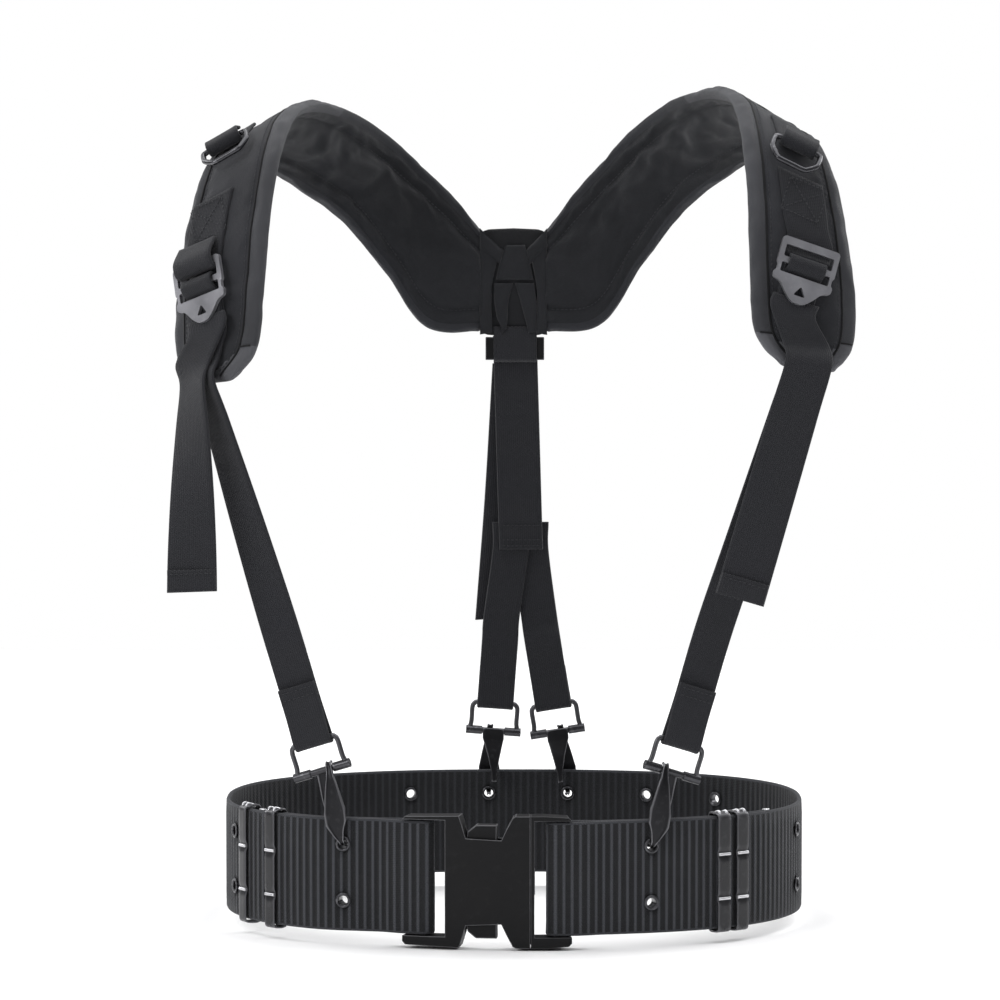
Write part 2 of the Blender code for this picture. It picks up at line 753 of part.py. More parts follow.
def d_ring_loop(name, side):
    """Webbing that holds the D-ring's bar, its ends lying on the pad above it."""
    frame = d_ring_frame(side)
    stations = [pad_station(side, RING_S[side] + ds, MIDDLE[side], PATCH_OFFSET)
                for ds in (-0.75, -0.55, -0.35)]
    stations += fold_stations(frame, 0.0017, 0.009)
    return strap(name, "webbing", stations, 0.0190)


# ---------------------------------------------------------------- hooks

def hook_frame(x, front, lean, length):
    """Frame at a hook's roller bar, above the eyelet that it hooks into."""
    at = belt_frame(x, front, EYELET_HIGH, lean)
    return at @ Matrix.Translation((0, length, 0.0010))


def stirrup(half, low, high):
    """Half of an open loop with round corners, mirrored: up one side, across and down."""
    corner = 0.003
    left = [(-half, low, 0), (-half, high - corner, 0), (-half + 0.001, high - 0.0008, 0),
            (-half + corner, high, 0)]
    return left + [(-x, y, z) for x, y, z in reversed(left)]


def bent_strip(name, hook, profile, thickness):
    """A metal strip from its profile: height, depth and half width at each bend."""
    rows = [[hook @ Vector((k * half, v, w)) for k in (-1, 1)] for v, w, half in profile]
    return sheet(name, "black_metal", rows, thickness)


def hook_pieces(place, hook, length):
    """Strap loop, roller bar, hook plate and spring blade of one hook."""
    loop = stirrup(LOOP_HALF, 0.0036, LOOP_HEIGHT)
    wire(f"hook_{place}_loop", "black_metal", loop, HOOK_WIRE, False, hook)
    bar = rod(HOOK_BAR_RADIUS, 0.0300, 12, hook @ Matrix.Rotation(math.pi / 2, 4, "Y"))
    finish(bar, f"hook_{place}_bar", "black_metal")
    knuckle = HOOK_BAR_RADIUS + 0.0009
    turns = [math.radians(degrees) for degrees in (105, 80, 55, 27, 0)]
    front = [(knuckle * math.sin(a), knuckle * math.cos(a), 0.0042) for a in turns]
    front += [(-0.005, 0.0042, 0.0040), (-0.014, 0.0052, 0.0058), (-0.026, 0.0053, 0.0062),
              (0.0074 - length, 0.0050, 0.0040), (0.0022 - length, 0.0044, 0.0016),
              (0.0004 - length, 0.0030, 0.0013), (-length, 0.0005, 0.0012),
              (-length, -0.0030, 0.0012), (0.0006 - length, -0.0055, 0.0012)]
    bent_strip(f"hook_{place}_plate", hook, front, 0.0011)
    back = [(0.0016, -0.0029, 0.0040), (-0.004, -0.0033, 0.0044), (-0.013, -0.0056, 0.0040),
            (-0.022, -0.0068, 0.0030), (0.0072 - length, -0.0068, 0.0016)]
    bent_strip(f"hook_{place}_blade", hook, back, 0.0010)


HOOKS = {
    "front_left": (-0.0852, True, -17.5, HOOK_LONG),
    "front_right": (0.0673, True, 17.5, HOOK_LONG),
    "rear_left": (-0.0133, False, -4.2, HOOK_SHORT),
    "rear_right": (0.0300, False, 9.3, HOOK_SHORT),
}


# ---------------------------------------------------------------- back straps

REAR_TAIL_TOP = (0.0008, 0.0028, 0.2880)  # across, behind the rear strap, and height


def back_y(z):
    """Depth of the rear strap at a height: it runs out to the back of the belt."""
    return 0.0965 + 0.0145 * smoothstep((0.300 - z) / 0.20)


def rear_strap():
    top, low, steps = Vector((0.0008, 0, 0.3024)), Vector((0.0043, 0, 0.1850)), 6
    stations = []
    for i in range(steps + 1):
        centre = top.lerp(low, i / steps)
        centre.y = back_y(centre.z)
        stations.append((centre, Vector((1, 0, 0))))
    return strap("rear_strap", "webbing", stations, 0.024)


def rear_tail():
    """Free end that hangs behind the rear strap, from the slider."""
    across = Vector((1, 0, 0.06))
    route = [REAR_TAIL_TOP, (-0.0035, 0.0072, 0.215), (-0.0088, 0.0095, 0.1460)]
    stations = [(Vector((x, back_y(z) + behind, z)), across) for x, behind, z in route]
    return strap("rear_tail", "webbing", smooth_stations(stations, 3), 0.0245)


def rear_slider():
    """Flat metal loop that holds the rear strap below the yoke."""
    outer = [(-0.0160, -0.0030), (0.0160, -0.0030), (0.0160, 0.0048), (-0.0160, 0.0048)]
    inner = [(-0.0134, -0.0016), (0.0134, -0.0016), (0.0134, 0.0034), (-0.0134, 0.0034)]
    place = Matrix.Translation((0.0008, 0.0965, 0.2955))
    return finish(flat_outline("rear_slider", [outer, inner], 0.0125, place), "rear_slider", "plastic")


def rear_leg(name, top_x, fork_x, layer, hook):
    """One leg of the Y, from behind the rear strap down to its hook."""
    across = Vector((1, 0, 0))
    top = loop_top(hook)
    flip = -top.col[0].xyz
    stations = [(Vector((top_x, back_y(0.200) + layer, 0.200)), across),
                (Vector((top_x, back_y(0.184) + layer, 0.184)), across),
                (Vector((fork_x, back_y(0.148) + layer, 0.148)), across),
                (top @ Vector((0, 0.035, -0.0012)), flip),
                (top @ Vector((0, 0.012, -0.0012)), flip)]
    stations = smooth_stations(stations, 3)
    stations += [(c, -u) for c, u in fold_stations(top, HOOK_WIRE, 0.020)]
    return strap(name, "webbing", stations, STRAP_WIDTH)


# ---------------------------------------------------------------- assembly

def build_belt():
    holes = {-1: [], 1: []}
    for place, (x, front, _, _) in HOOKS.items():
        rows = (("top", EYELET_HIGH), ("low", EYELET_LOW)) if front else (("top", EYELET_HIGH),)
        for row, z in rows:
            at = belt_frame(x, front, z)
            holes[-1 if x < HINGE_X else 1].append(at)
            eyelet(f"eyelet_{place}_{row}", at, 2 if front else 1)
    for label, side in (("left", -1), ("right", 1)):
        belt_webbing(f"belt_webbing_{label}", side, holes[side])
        end_clip(f"tail_clip_{label}", side)
    for place, (x, width) in KEEPERS.items():
        keeper(f"keeper_{place}", x, width)


def build_suspenders():
    last = len(PAD_SECTIONS) - 1
    yoke_panel()
    for label, side in (("left", -1), ("right", 1)):
        pad_patch(f"shoulder_pad_{label}", "lining", side, (0, last), (0, 1), 0.0, PAD_THICK)
        pad_patch(f"shoulder_cap_{label}", "trim", side, (4.2, 6.0), (0.03, 0.97), 0.0056, 0.0012)
        pad_patch(f"end_patch_{label}", "trim", side, (11.45, 11.97), (0.03, 0.97), 0.0051, 0.0004)
        anchor_webbing(f"anchor_webbing_{label}", side)
        adjuster(f"adjuster_{label}", side)
        d_ring(f"d_ring_{label}", side)
        d_ring_loop(f"d_ring_loop_{label}", side)


def build_straps():
    hooks = {place: hook_frame(*spec) for place, spec in HOOKS.items()}
    for place, spec in HOOKS.items():
        hook_pieces(place, hooks[place], spec[-1])
    load_strap("load_strap_left", -1, hooks["front_left"])
    load_strap("load_strap_right", 1, hooks["front_right"])
    strap_tail("strap_tail_left", -1, (-0.1605, -0.106, 0.177))
    strap_tail("strap_tail_right", 1, (0.1115, -0.112, 0.1735))
    rear_strap()
    rear_tail()
    rear_slider()
    rear_leg("rear_leg_left", -0.0015, -0.0064, 0.0022, hooks["rear_left"])
    rear_leg("rear_leg_right", 0.0095, 0.0142, 0.0044, hooks["rear_right"])


# ---------------------------------------------------------------- joints

def joint_axes():
    """Each joint's name, a point on its axis, its direction, its parent joint and its pieces."""
    up, out = UP * BUCKLE_MID_Z, facet_point(0, 1, 0) - facet_point(0, 0, 0)
    right = ["belt_webbing_right", "tail_clip_right", "buckle_male_frame", "eyelet_front_right_top",
             "eyelet_front_right_low", "eyelet_rear_right_top"]
    right += [f"hook_{place}_{piece}" for place in ("front_right", "rear_right")
              for piece in ("loop", "bar", "plate")]
    yield "belt_open", Vector((HINGE_X, HINGE_Y, 0)), UP, None, right
    for label, side in (("upper", 1), ("lower", -1)):
        root = facet_point(PRONG_PIVOT_U, 0, side * PRONG_PIVOT_H) + up
        yield f"prong_{label}_press", root, out * side, "belt_open", [f"prong_{label}"]
    for place, spec in HOOKS.items():
        hook = hook_frame(*spec)
        parent = "belt_open" if "right" in place else None
        blade = [f"hook_{place}_blade"]
        yield f"hook_{place}_spring", hook.translation, hook.col[0].xyz, parent, blade
    for place, (x, _) in KEEPERS.items():
        band = keeper_frame(x)
        parent = "belt_open" if "right" in place else None
        yield f"keeper_{place}_slide", band.translation, band.col[0].xyz, parent, [f"keeper_{place}"]
    for label, side in (("left", -1), ("right", 1)):
        ring, lock, tail = d_ring_frame(side), lock_frame(side), tail_pivot(side)
        bar = lock @ Vector((0, LOCK_BAR, 0))
        yield f"d_ring_{label}_swing", ring.translation, -ring.col[0].xyz, None, [f"d_ring_{label}"]
        yield f"adjuster_{label}_tilt", bar, -lock.col[0].xyz, None, [f"adjuster_{label}"]
        yield (f"strap_tail_{label}_swing", tail.translation, -tail.col[0].xyz, None,
               [f"strap_tail_{label}"])
    x, behind, z = REAR_TAIL_TOP
    yield "rear_tail_swing", Vector((x, back_y(z) + behind, z)), Vector((1, 0, 0)), None, ["rear_tail"]


def hang_on_axes():
    """Parent each moving piece to an empty that lies on its joint's axis, local Z along it."""
    for name, point, direction, parent, pieces in joint_axes():
        axis = bpy.data.objects.new("axis_" + name, None)
        axis.empty_display_size = 0.01
        get_collection("joint_axes").objects.link(axis)
        turn = direction.to_track_quat("Z", "X").to_matrix().to_4x4()
        place = Matrix.Translation(point) @ turn
        if parent:
            axis.parent = bpy.data.objects["axis_" + parent]
            axis.matrix_parent_inverse = axis.parent.matrix_world.inverted()
        axis.matrix_world = place
        bpy.context.view_layer.update()
        for piece in pieces:
            child = bpy.data.objects[piece]
            child.parent = axis
            child.matrix_parent_inverse = axis.matrix_world.inverted()


def main():
    clear_scene()
    get_collection(COLLECTION)
    buckle_female()
    buckle_male()
    prong("prong_upper", 1)
    prong("prong_lower", -1)
    build_belt()
    build_suspenders()
    build_straps()
    hang_on_axes()


main()
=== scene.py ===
"""Looks of the padded-suspender duty belt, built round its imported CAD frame.

Metres, +Z up, -Y the front with the buckle, +X the viewer's right, as in the frame.
"""

import math
from bisect import bisect_right

import bmesh
import bpy
from mathutils import Matrix, Vector, noise
from mathutils.bvhtree import BVHTree


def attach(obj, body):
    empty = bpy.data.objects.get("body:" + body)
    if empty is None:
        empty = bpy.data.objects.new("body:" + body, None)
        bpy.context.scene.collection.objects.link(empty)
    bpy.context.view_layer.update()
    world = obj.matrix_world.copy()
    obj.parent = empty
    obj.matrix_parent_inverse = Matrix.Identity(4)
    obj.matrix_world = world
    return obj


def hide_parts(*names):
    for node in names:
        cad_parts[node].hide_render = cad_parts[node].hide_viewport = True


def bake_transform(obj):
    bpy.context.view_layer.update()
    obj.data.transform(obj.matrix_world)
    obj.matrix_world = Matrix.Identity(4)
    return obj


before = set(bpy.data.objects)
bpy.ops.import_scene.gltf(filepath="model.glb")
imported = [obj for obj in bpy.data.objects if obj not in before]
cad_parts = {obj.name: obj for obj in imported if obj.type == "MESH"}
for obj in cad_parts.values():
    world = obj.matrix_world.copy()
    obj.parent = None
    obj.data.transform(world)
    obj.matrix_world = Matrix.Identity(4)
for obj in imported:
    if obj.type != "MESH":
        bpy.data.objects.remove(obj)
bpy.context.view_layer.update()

# Belt and buckle, as in the frame
RING_HALF_X = 0.1475         # the belt's ring, a rounded oval
RING_HALF_Y = 0.110
RING_POWER = 2.4
BELT_LOW = 0.006
BELT_HIGH = 0.063
BELT_THICK = 0.0026
BELT_LAYER = 0.0018          # each of two layers, from the ring's middle line
TAIL_END_X = 0.128           # where the folded tails end on the front run
HINGE_X = 0.008
HINGE_Y = RING_HALF_Y
BUCKLE_X = -0.0137
BUCKLE_RADIUS = math.hypot(BUCKLE_X - HINGE_X, 2 * RING_HALF_Y)
BUCKLE_ANGLE = math.atan2(-2 * RING_HALF_Y, BUCKLE_X - HINGE_X)
BAR_INNER = {-1: 0.0316, 1: 0.0341}  # the webbing bars, from the buckle's middle
BAR_WRAP = 0.0038            # radius of the webbing round them
SEAM_RIB_AT = (0.0065, -0.1036, 0.0191)
SEAM_RIB_SIZE = (0.0060, 0.0009, 0.0380)
RIB_PITCH = 0.00406
RIB_HEIGHT = 0.00062
EYELET_HIGH = 0.0500
EYELET_LOW = 0.0215
EYELET_HOLE = 0.0024         # radii of an eyelet: its hole, the webbing's hole and its flange
EYELET_CUT = 0.0031
EYELET_FLANGE = 0.0039

# Suspenders
PAD_HALF = 0.0036            # half thickness of a pad before it is blown up
PAD_SWELL = 0.0010           # how far the cloth may move
CLOTH_STEPS = 16
ROLL = 0.0050                # width of the round edge panels at the back
ROLL_GROWTH = 0.0034         # and how much wider they are in front
QUILT = 0.0125               # the lining's inner seams, from each edge
COVER_COLUMNS = 14           # mesh columns across a pad's cover; the lining has twice as many
PAD_ROWS = 132
CAP_START = 3.9              # stations where the shoulder cap starts and ends
CAP_END = 6.05
PATCH_START = 11.0           # station where the end patches start
STRAP_THICK = 0.0016
STRAP_WIDTH = 0.020
WEB_WIDTH = 0.025
STITCH_PITCH = 0.0024
STITCH_LENGTH = 0.0017
THREAD = 0.00032             # radius of a sewing thread
LOCK_S = 9.50                # station of the ladder locks
LOCK_OFFSET = 0.0102         # their height over a pad's middle surface
LOCK_BAR = 0.0005            # their top bar, up from their origin
RING_S = {-1: 7.30, 1: 7.88}     # stations of the D-rings
RING_OFFSET = 0.0094
MIDDLE = {-1: 0.64, 1: 0.53}     # where the webbings lie across each pad
LOAD_END = {-1: 0.40, 1: 0.33}   # where the load straps leave the pads
TAIL_END = {-1: 0.62, 1: 0.34}   # where the free tails leave them

# Hooks
HOOK_BAR_RADIUS = 0.0020
HOOK_WIRE = 0.0013
LOOP_HALF = 0.0124
LOOP_HEIGHT = 0.0155
HOOK_LONG = 0.0380
HOOK_SHORT = 0.0345
HOOKS = {                    # place along the belt, on its front run or not, lean and length
    "front_left": (-0.0852, True, -17.5, HOOK_LONG),
    "front_right": (0.0673, True, 17.5, HOOK_LONG),
    "rear_left": (-0.0133, False, -4.2, HOOK_SHORT),
    "rear_right": (0.0300, False, 9.3, HOOK_SHORT),
}
EYELET_ROWS = {"top": EYELET_HIGH, "low": EYELET_LOW}
EYELETS = {                  # place along the belt, and whether on its front run
    **{place: (x, front) for place, (x, front, _, _) in HOOKS.items()},
    "side_left": (-0.1400, True),
    "side_right": (0.1420, True),
    "back_left": (-0.0563, False),
    "back_right": (0.0730, False),
    "back_far_left": (-0.0995, False),
    "back_far_right": (0.1100, False),
}
KEEPERS = {                  # place along the belt, and width
    "left_outer": (-0.1345, 0.0070),
    "left_inner": (-0.1205, 0.0070),
    "right_inner": (0.1030, 0.0075),
    "right_outer": (0.1120, 0.0075),
}

UP = Vector((0, 0, 1))
SIDES = (("left", -1), ("right", 1))

# Neck and outer edge of the right pad at each station, from the yoke over the shoulder to the front
PAD_SECTIONS = [
    ((0.0165, 0.0960, 0.3590), (0.0165, 0.0960, 0.3040)),
    ((0.0330, 0.0960, 0.3790), (0.0470, 0.0940, 0.3080)),
    ((0.0490, 0.0920, 0.3970), (0.0700, 0.0880, 0.3400)),
    ((0.0660, 0.0810, 0.4150), (0.0930, 0.0740, 0.3700)),
    ((0.0820, 0.0600, 0.4270), (0.1170, 0.0480, 0.3890)),
    ((0.0960, 0.0310, 0.4320), (0.1370, 0.0180, 0.4000)),
    ((0.1060, -0.0030, 0.4310), (0.1500, -0.0160, 0.4030)),
    ((0.1120, -0.0390, 0.4230), (0.1570, -0.0460, 0.3970)),
    ((0.1150, -0.0680, 0.4030), (0.1630, -0.0660, 0.3800)),
    ((0.1170, -0.0840, 0.3720), (0.1680, -0.0745, 0.3520)),
    ((0.1175, -0.0910, 0.3380), (0.1710, -0.0785, 0.3230)),
    ((0.1200, -0.0940, 0.3060), (0.1700, -0.0815, 0.2990)),
    ((0.1330, -0.0945, 0.2890), (0.1600, -0.0870, 0.2850)),
]
LAST = len(PAD_SECTIONS) - 1
LEFT_DROP = 0.007            # how the left pad differs from the right one
LEFT_TURN = 0.020
LEFT_SHIFT = 0.009
LEFT_TAIL_SHIFT = Vector((0.0025, 0, 0))
TAIL_TIP = {-1: (-0.1605, -0.106, 0.177), 1: (0.1115, -0.112, 0.1735)}


# ---------------------------------------------------------------- places and paths

def smoothstep(x):
    x = min(max(x, 0.0), 1.0)
    return x * x * (3 - 2 * x)


def catmull(points, t):
    """Point at parameter t on a smooth curve through the points."""
    last = len(points) - 1
    i = min(int(t), last - 1)
    f = t - i
    p1, p2 = points[i], points[i + 1]
    p0 = points[i - 1] if i > 0 else p1 * 2 - p2
    p3 = points[i + 2] if i + 2 <= last else p2 * 2 - p1
    return 0.5 * (2 * p1 + (p2 - p0) * f + (2 * p0 - 5 * p1 + 4 * p2 - p3) * f * f
                  + (3 * p1 - p0 - 3 * p2 + p3) * f ** 3)


class Line:
    """A dense line that can be read at any distance along it."""

    def __init__(self, points):
        self.points = points
        self.runs = [0.0]
        for a, b in zip(points, points[1:]):
            self.runs.append(self.runs[-1] + (b - a).length)
        self.total = self.runs[-1]

    def at(self, distance):
        """Point and direction at a distance along the line."""
        i = min(max(bisect_right(self.runs, distance) - 1, 0), len(self.points) - 2)
        a, b = self.points[i], self.points[i + 1]
        step = (b - a).normalized()
        return a + step * (distance - self.runs[i]), step


def frame_at(origin, out, lean_deg=0.0):
    """Local axes at a place: u across, v up (leaning towards +u), w outwards."""
    w = out.normalized()
    u = UP.cross(w).normalized()
    v = w.cross(u)
    turn = Matrix.Rotation(-math.radians(lean_deg), 3, w)
    u, v = turn @ u, turn @ v
    return Matrix.Translation(origin) @ Matrix((u, v, w)).transposed().to_4x4()


def buckle_point(u, w, z):
    """A place given along (u), out from (w) and up (z) the buckle, on its arc."""
    angle = BUCKLE_ANGLE + u / BUCKLE_RADIUS
    radius = BUCKLE_RADIUS + w
    return Vector((HINGE_X + radius * math.cos(angle), HINGE_Y + radius * math.sin(angle), z))


def ring_xy(angle, side):
    """Middle line of the ring: angle 0 at the back centre, pi at the front."""
    power = 2 / RING_POWER
    x = side * RING_HALF_X * abs(math.sin(angle)) ** power
    y = math.copysign(RING_HALF_Y * abs(math.cos(angle)) ** power, math.cos(angle))
    if y < 0:
        near = 1 - smoothstep((abs(x - BUCKLE_X) - 0.044) / 0.045)
        arc = HINGE_Y - math.sqrt(BUCKLE_RADIUS ** 2 - (x - HINGE_X) ** 2)
        y += (arc - y) * near
    return Vector((x, y, 0))


def half_ring(side):
    """Middle line from the buckle bar round one side to the back centre."""
    start = buckle_point(side * BAR_INNER[side], 0, 0)
    points = [start]
    steps = 900
    for i in range(steps, -1, -1):
        p = ring_xy(math.pi * i / steps, side)
        if p.y < 0 and side * (p.x - start.x) <= 0.001:
            continue
        if p.y > 0 and side * (p.x - HINGE_X) < 0.0005:
            continue
        points.append(p)
    points.append(Vector((HINGE_X, HINGE_Y, 0)))
    return Line(points)


def outward(direction, p):
    """Level normal of a direction, pointing away from the ring's inside."""
    out = Vector((direction.y, -direction.x, 0)).normalized()
    return out if out.dot(p) > 0 else -out


def belt_frame(x, front, z, lean=0.0):
    """Frame on the ring's middle line at a given x, on the front or the back run."""
    side = -1 if x < HINGE_X else 1
    best = None
    for i in range(1, 1440):
        p = ring_xy(math.pi * i / 1440, side)
        if (p.y < 0) == front and (best is None or abs(p.x - x) < abs(best[0].x - x)):
            best = (p, ring_xy(math.pi * (i + 1) / 1440, side) - p)
    p, t = best
    return frame_at(Vector((p.x, p.y, z)), outward(t, p), lean)


def pad_edge(side, which, at):
    """A pad's neck edge (which = 0) or outer edge (1) at a station."""
    p = catmull([Vector(pair[which]) for pair in PAD_SECTIONS], at)
    if side < 0:
        p.z -= LEFT_DROP * smoothstep(at / 4)
        p.y += which * LEFT_TURN * smoothstep((at - 5.5) / 3.5)
        p.x += (1 - which) * LEFT_SHIFT * smoothstep((at - 6) / 5)
    p.x *= side
    return p


def pad_out(side, s, t):
    """Outward normal of a pad."""
    def flat(at):
        return pad_edge(side, 0, at).lerp(pad_edge(side, 1, at), t)
    along = flat(min(s + 0.05, LAST)) - flat(max(s - 0.05, 0))
    across = pad_edge(side, 1, s) - pad_edge(side, 0, s)
    return along.cross(across).normalized() * side


def pad_point(side, s, t, offset=0.0):
    """Place on a pad: s along it, t across (0 neck edge, 1 outer edge), offset outwards."""
    p = pad_edge(side, 0, s).lerp(pad_edge(side, 1, s), t)
    return p + pad_out(side, s, t) * offset if offset else p


def pad_frame(side, s, t, offset):
    """Frame lying on a pad, v pointing up the strap."""
    p = pad_point(side, s, t, offset)
    out = pad_out(side, s, t)
    across = (pad_point(side, s, 1) - pad_point(side, s, 0)).normalized() * side
    v = out.cross(across).normalized()
    return Matrix.Translation(p) @ Matrix((v.cross(out), v, out)).transposed().to_4x4()


def pad_station(side, s, t, offset):
    """Centre and across direction of a strap that lies on a pad."""
    across = (pad_point(side, s, 1) - pad_point(side, s, 0)).normalized() * side
    return pad_point(side, s, t, offset), across


def lock_frame(side):
    return pad_frame(side, LOCK_S, MIDDLE[side], LOCK_OFFSET)


def d_ring_frame(side):
    return pad_frame(side, RING_S[side], MIDDLE[side], RING_OFFSET)


def hook_frame(x, front, lean, length):
    """Frame on a hook's bar, from where its eyelet is."""
    at = belt_frame(x, front, EYELET_HIGH, lean)
    return at @ Matrix.Translation((0, length, 0.0010))


def loop_top(hook):
    return hook @ Matrix.Translation((0, LOOP_HEIGHT, 0))


def back_y(z):
    """Where the rear strap hangs at a height, from the yoke down to the belt."""
    return 0.0965 + 0.0145 * smoothstep((0.300 - z) / 0.20)


# ---------------------------------------------------------------- materials

class Graph:
    """A material's node tree, with short calls for the nodes that the finishes use."""

    def __init__(self, name, color, roughness, metallic=0.0):
        self.mat = bpy.data.materials.new(name)
        self.mat.use_nodes = True
        self.nodes = self.mat.node_tree.nodes
        self.links = self.mat.node_tree.links
        self.shader = self.nodes["Principled BSDF"]
        self.shader.inputs["Base Color"].default_value = (*color, 1)
        self.shader.inputs["Roughness"].default_value = roughness
        self.shader.inputs["Metallic"].default_value = metallic

    def put(self, value, socket):
        if isinstance(value, (int, float)):
            socket.default_value = value
        elif isinstance(value, tuple):
            opaque = len(value) == 3 and len(socket.default_value) == 4
            socket.default_value = (*value, 1) if opaque else value
        elif value is not None:
            self.links.new(value, socket)

    def node(self, kind, out=0, **inputs):
        made = self.nodes.new(kind)
        for key, value in inputs.items():
            self.put(value, made.inputs[key.replace("_", " ")])
        return made.outputs[out]

    def math(self, operation, a, b=None):
        made = self.nodes.new("ShaderNodeMath")
        made.operation = operation
        self.put(a, made.inputs[0])
        self.put(b, made.inputs[1])
        return made.outputs[0]

    def noise(self, vector, scale, detail=3.0, roughness=0.55):
        return self.node("ShaderNodeTexNoise", Vector=vector, Scale=scale, Detail=detail, Roughness=roughness)

    def ramp(self, value, low, high, start=0.0, end=1.0):
        """A value spread between two greys or colours."""
        made = self.nodes.new("ShaderNodeValToRGB")
        self.links.new(value, made.inputs[0])
        for place, color, element in zip((start, end), (low, high), made.color_ramp.elements):
            element.position = place
            element.color = (*color, 1) if isinstance(color, tuple) else (color, color, color, 1)
        return made.outputs[0]

    def bump(self, height, distance, strength=1.0, normal=None):
        return self.node("ShaderNodeBump", Height=height, Distance=distance, Strength=strength, Normal=normal)

    def mix(self, factor, a, b):
        made = self.nodes.new("ShaderNodeMix")
        made.data_type = "RGBA"
        self.put(factor, made.inputs["Factor"])
        self.put(a, made.inputs[6])
        self.put(b, made.inputs[7])
        return made.outputs[2]

    def place(self):
        """The surface's own place in the row frame."""
        return self.nodes.new("ShaderNodeTexCoord").outputs["Object"]

    def across_along(self):
        """The piece's UVs, which are in metres across and along it."""
        split = self.nodes.new("ShaderNodeSeparateXYZ")
        self.links.new(self.nodes.new("ShaderNodeUVMap").outputs[0], split.inputs[0])
        return split.outputs[0], split.outputs[1]

    def ridges(self, value, pitch, shift=0.0):
        """Round-topped ridges, one to each pitch."""
        turn = self.math("ADD", self.math("MULTIPLY", value, math.pi / pitch), shift)
        return self.math("ABSOLUTE", self.math("SINE", turn))

    def finish(self, color, roughness, normal, specular, sheen=None):
        """Feed the shader; sheen is a weight and a roughness."""
        for socket, value in (("Base Color", color), ("Roughness", roughness), ("Normal", normal)):
            self.links.new(value, self.shader.inputs[socket])
        if sheen:
            self.shader.inputs["Sheen Weight"].default_value = sheen[0]
            self.shader.inputs["Sheen Roughness"].default_value = sheen[1]
        self.shader.inputs["Specular IOR Level"].default_value = specular
        return self.mat


WEAVE_ROUGHNESS = 0.78
PAD_ROUGHNESS = 0.82
SELVEDGE = 0.0013            # plain edge of the belt webbing beside its ribs


def scaled(color, factor):
    return tuple(min(c * factor, 1.0) for c in color)


def woven(name, color, warp=0.0011, weft=0.0008, depth=0.00025, rib=None):
    """Nylon weave whose threads follow the piece, with ribs painted light on their crests and shaded between
    if asked for.
    """
    g = Graph(name, color, WEAVE_ROUGHNESS)
    across, along = g.across_along()
    row = g.math("FLOOR", g.math("DIVIDE", across, warp))
    shift = g.math("MULTIPLY", g.math("MODULO", row, 2.0), math.pi / 2)
    weave = g.math("MULTIPLY", g.ridges(across, warp), g.ridges(along, weft, shift))
    place = g.place()
    fuzz = g.noise(place, 900, 2)
    patch = g.noise(place, 38, 4)
    height = g.math("ADD", weave, g.math("MULTIPLY", fuzz, 0.5))
    dark = g.ramp(weave, scaled(color, 0.72), scaled(color, 1.18))
    wear_and_painted_light = g.mix(g.ramp(patch, 0.0, 0.30, 0.42, 0.72), dark, scaled(color, 1.35))
    if rib:
        # Painted highlight and shade: the rib crests are lightened and the grooves between them darkened.
        painted_rib_light_and_shade = g.ramp(g.ridges(along, rib), 0.0, 1.0, 0.74, 0.99)
        painted_rib_light_and_shade = g.mix(painted_rib_light_and_shade, scaled(color, 0.34), scaled(color, 2.5))
        ribbed = g.mix(0.80, wear_and_painted_light, painted_rib_light_and_shade)
        rim = g.math("GREATER_THAN", g.math("ABSOLUTE", across), (BELT_HIGH - BELT_LOW) / 2 - SELVEDGE)
        # Painted shade: the inner face, turned towards the ring's middle, is darker and its ribs fainter.
        facing = g.nodes.new("ShaderNodeVectorMath")
        facing.operation = "DOT_PRODUCT"
        g.links.new(g.nodes.new("ShaderNodeNewGeometry").outputs["Normal"], facing.inputs[0])
        g.links.new(place, facing.inputs[1])
        outer = g.math("GREATER_THAN", facing.outputs["Value"], 0.0)
        ribbed = g.mix(outer, g.mix(0.25, scaled(color, 0.55), painted_rib_light_and_shade), ribbed)
        # The selvedges are made lighter.
        wear_and_painted_light = g.mix(rim, ribbed, scaled(color, 1.5))
    rough = g.ramp(patch, WEAVE_ROUGHNESS - 0.08, WEAVE_ROUGHNESS + 0.10, 0.3, 0.7)
    return g.finish(wear_and_painted_light, rough, g.bump(height, depth, 0.8), 0.22, (0.10, 0.5))


def pad_cloth(name, color, pitch, wrinkle):
    """Pad fabric: a fine plain weave over soft creases and rubbed patches."""
    g = Graph(name, color, PAD_ROUGHNESS)
    waves = [g.math("SINE", g.math("MULTIPLY", axis, 2 * math.pi / pitch)) for axis in g.across_along()]
    weave = g.math("MULTIPLY", waves[0], waves[1])
    place = g.place()
    crease = g.noise(place, 55, 5, 0.6)
    cloud = g.noise(place, 16, 4)
    grain = g.noise(place, 1400, 2)
    tone = g.ramp(cloud, scaled(color, 0.80), scaled(color, 1.30), 0.3, 0.72)
    tone = g.mix(g.ramp(weave, 0.0, 0.5, 0.35, 0.9), tone, scaled(color, 1.6))
    rough = g.ramp(grain, PAD_ROUGHNESS - 0.14, PAD_ROUGHNESS + 0.10)
    fine = g.bump(g.math("ADD", weave, g.math("MULTIPLY", grain, 0.8)), 0.00012, 0.7)
    return g.finish(tone, rough, g.bump(crease, wrinkle, 0.5, fine), 0.25, (0.14, 0.45))


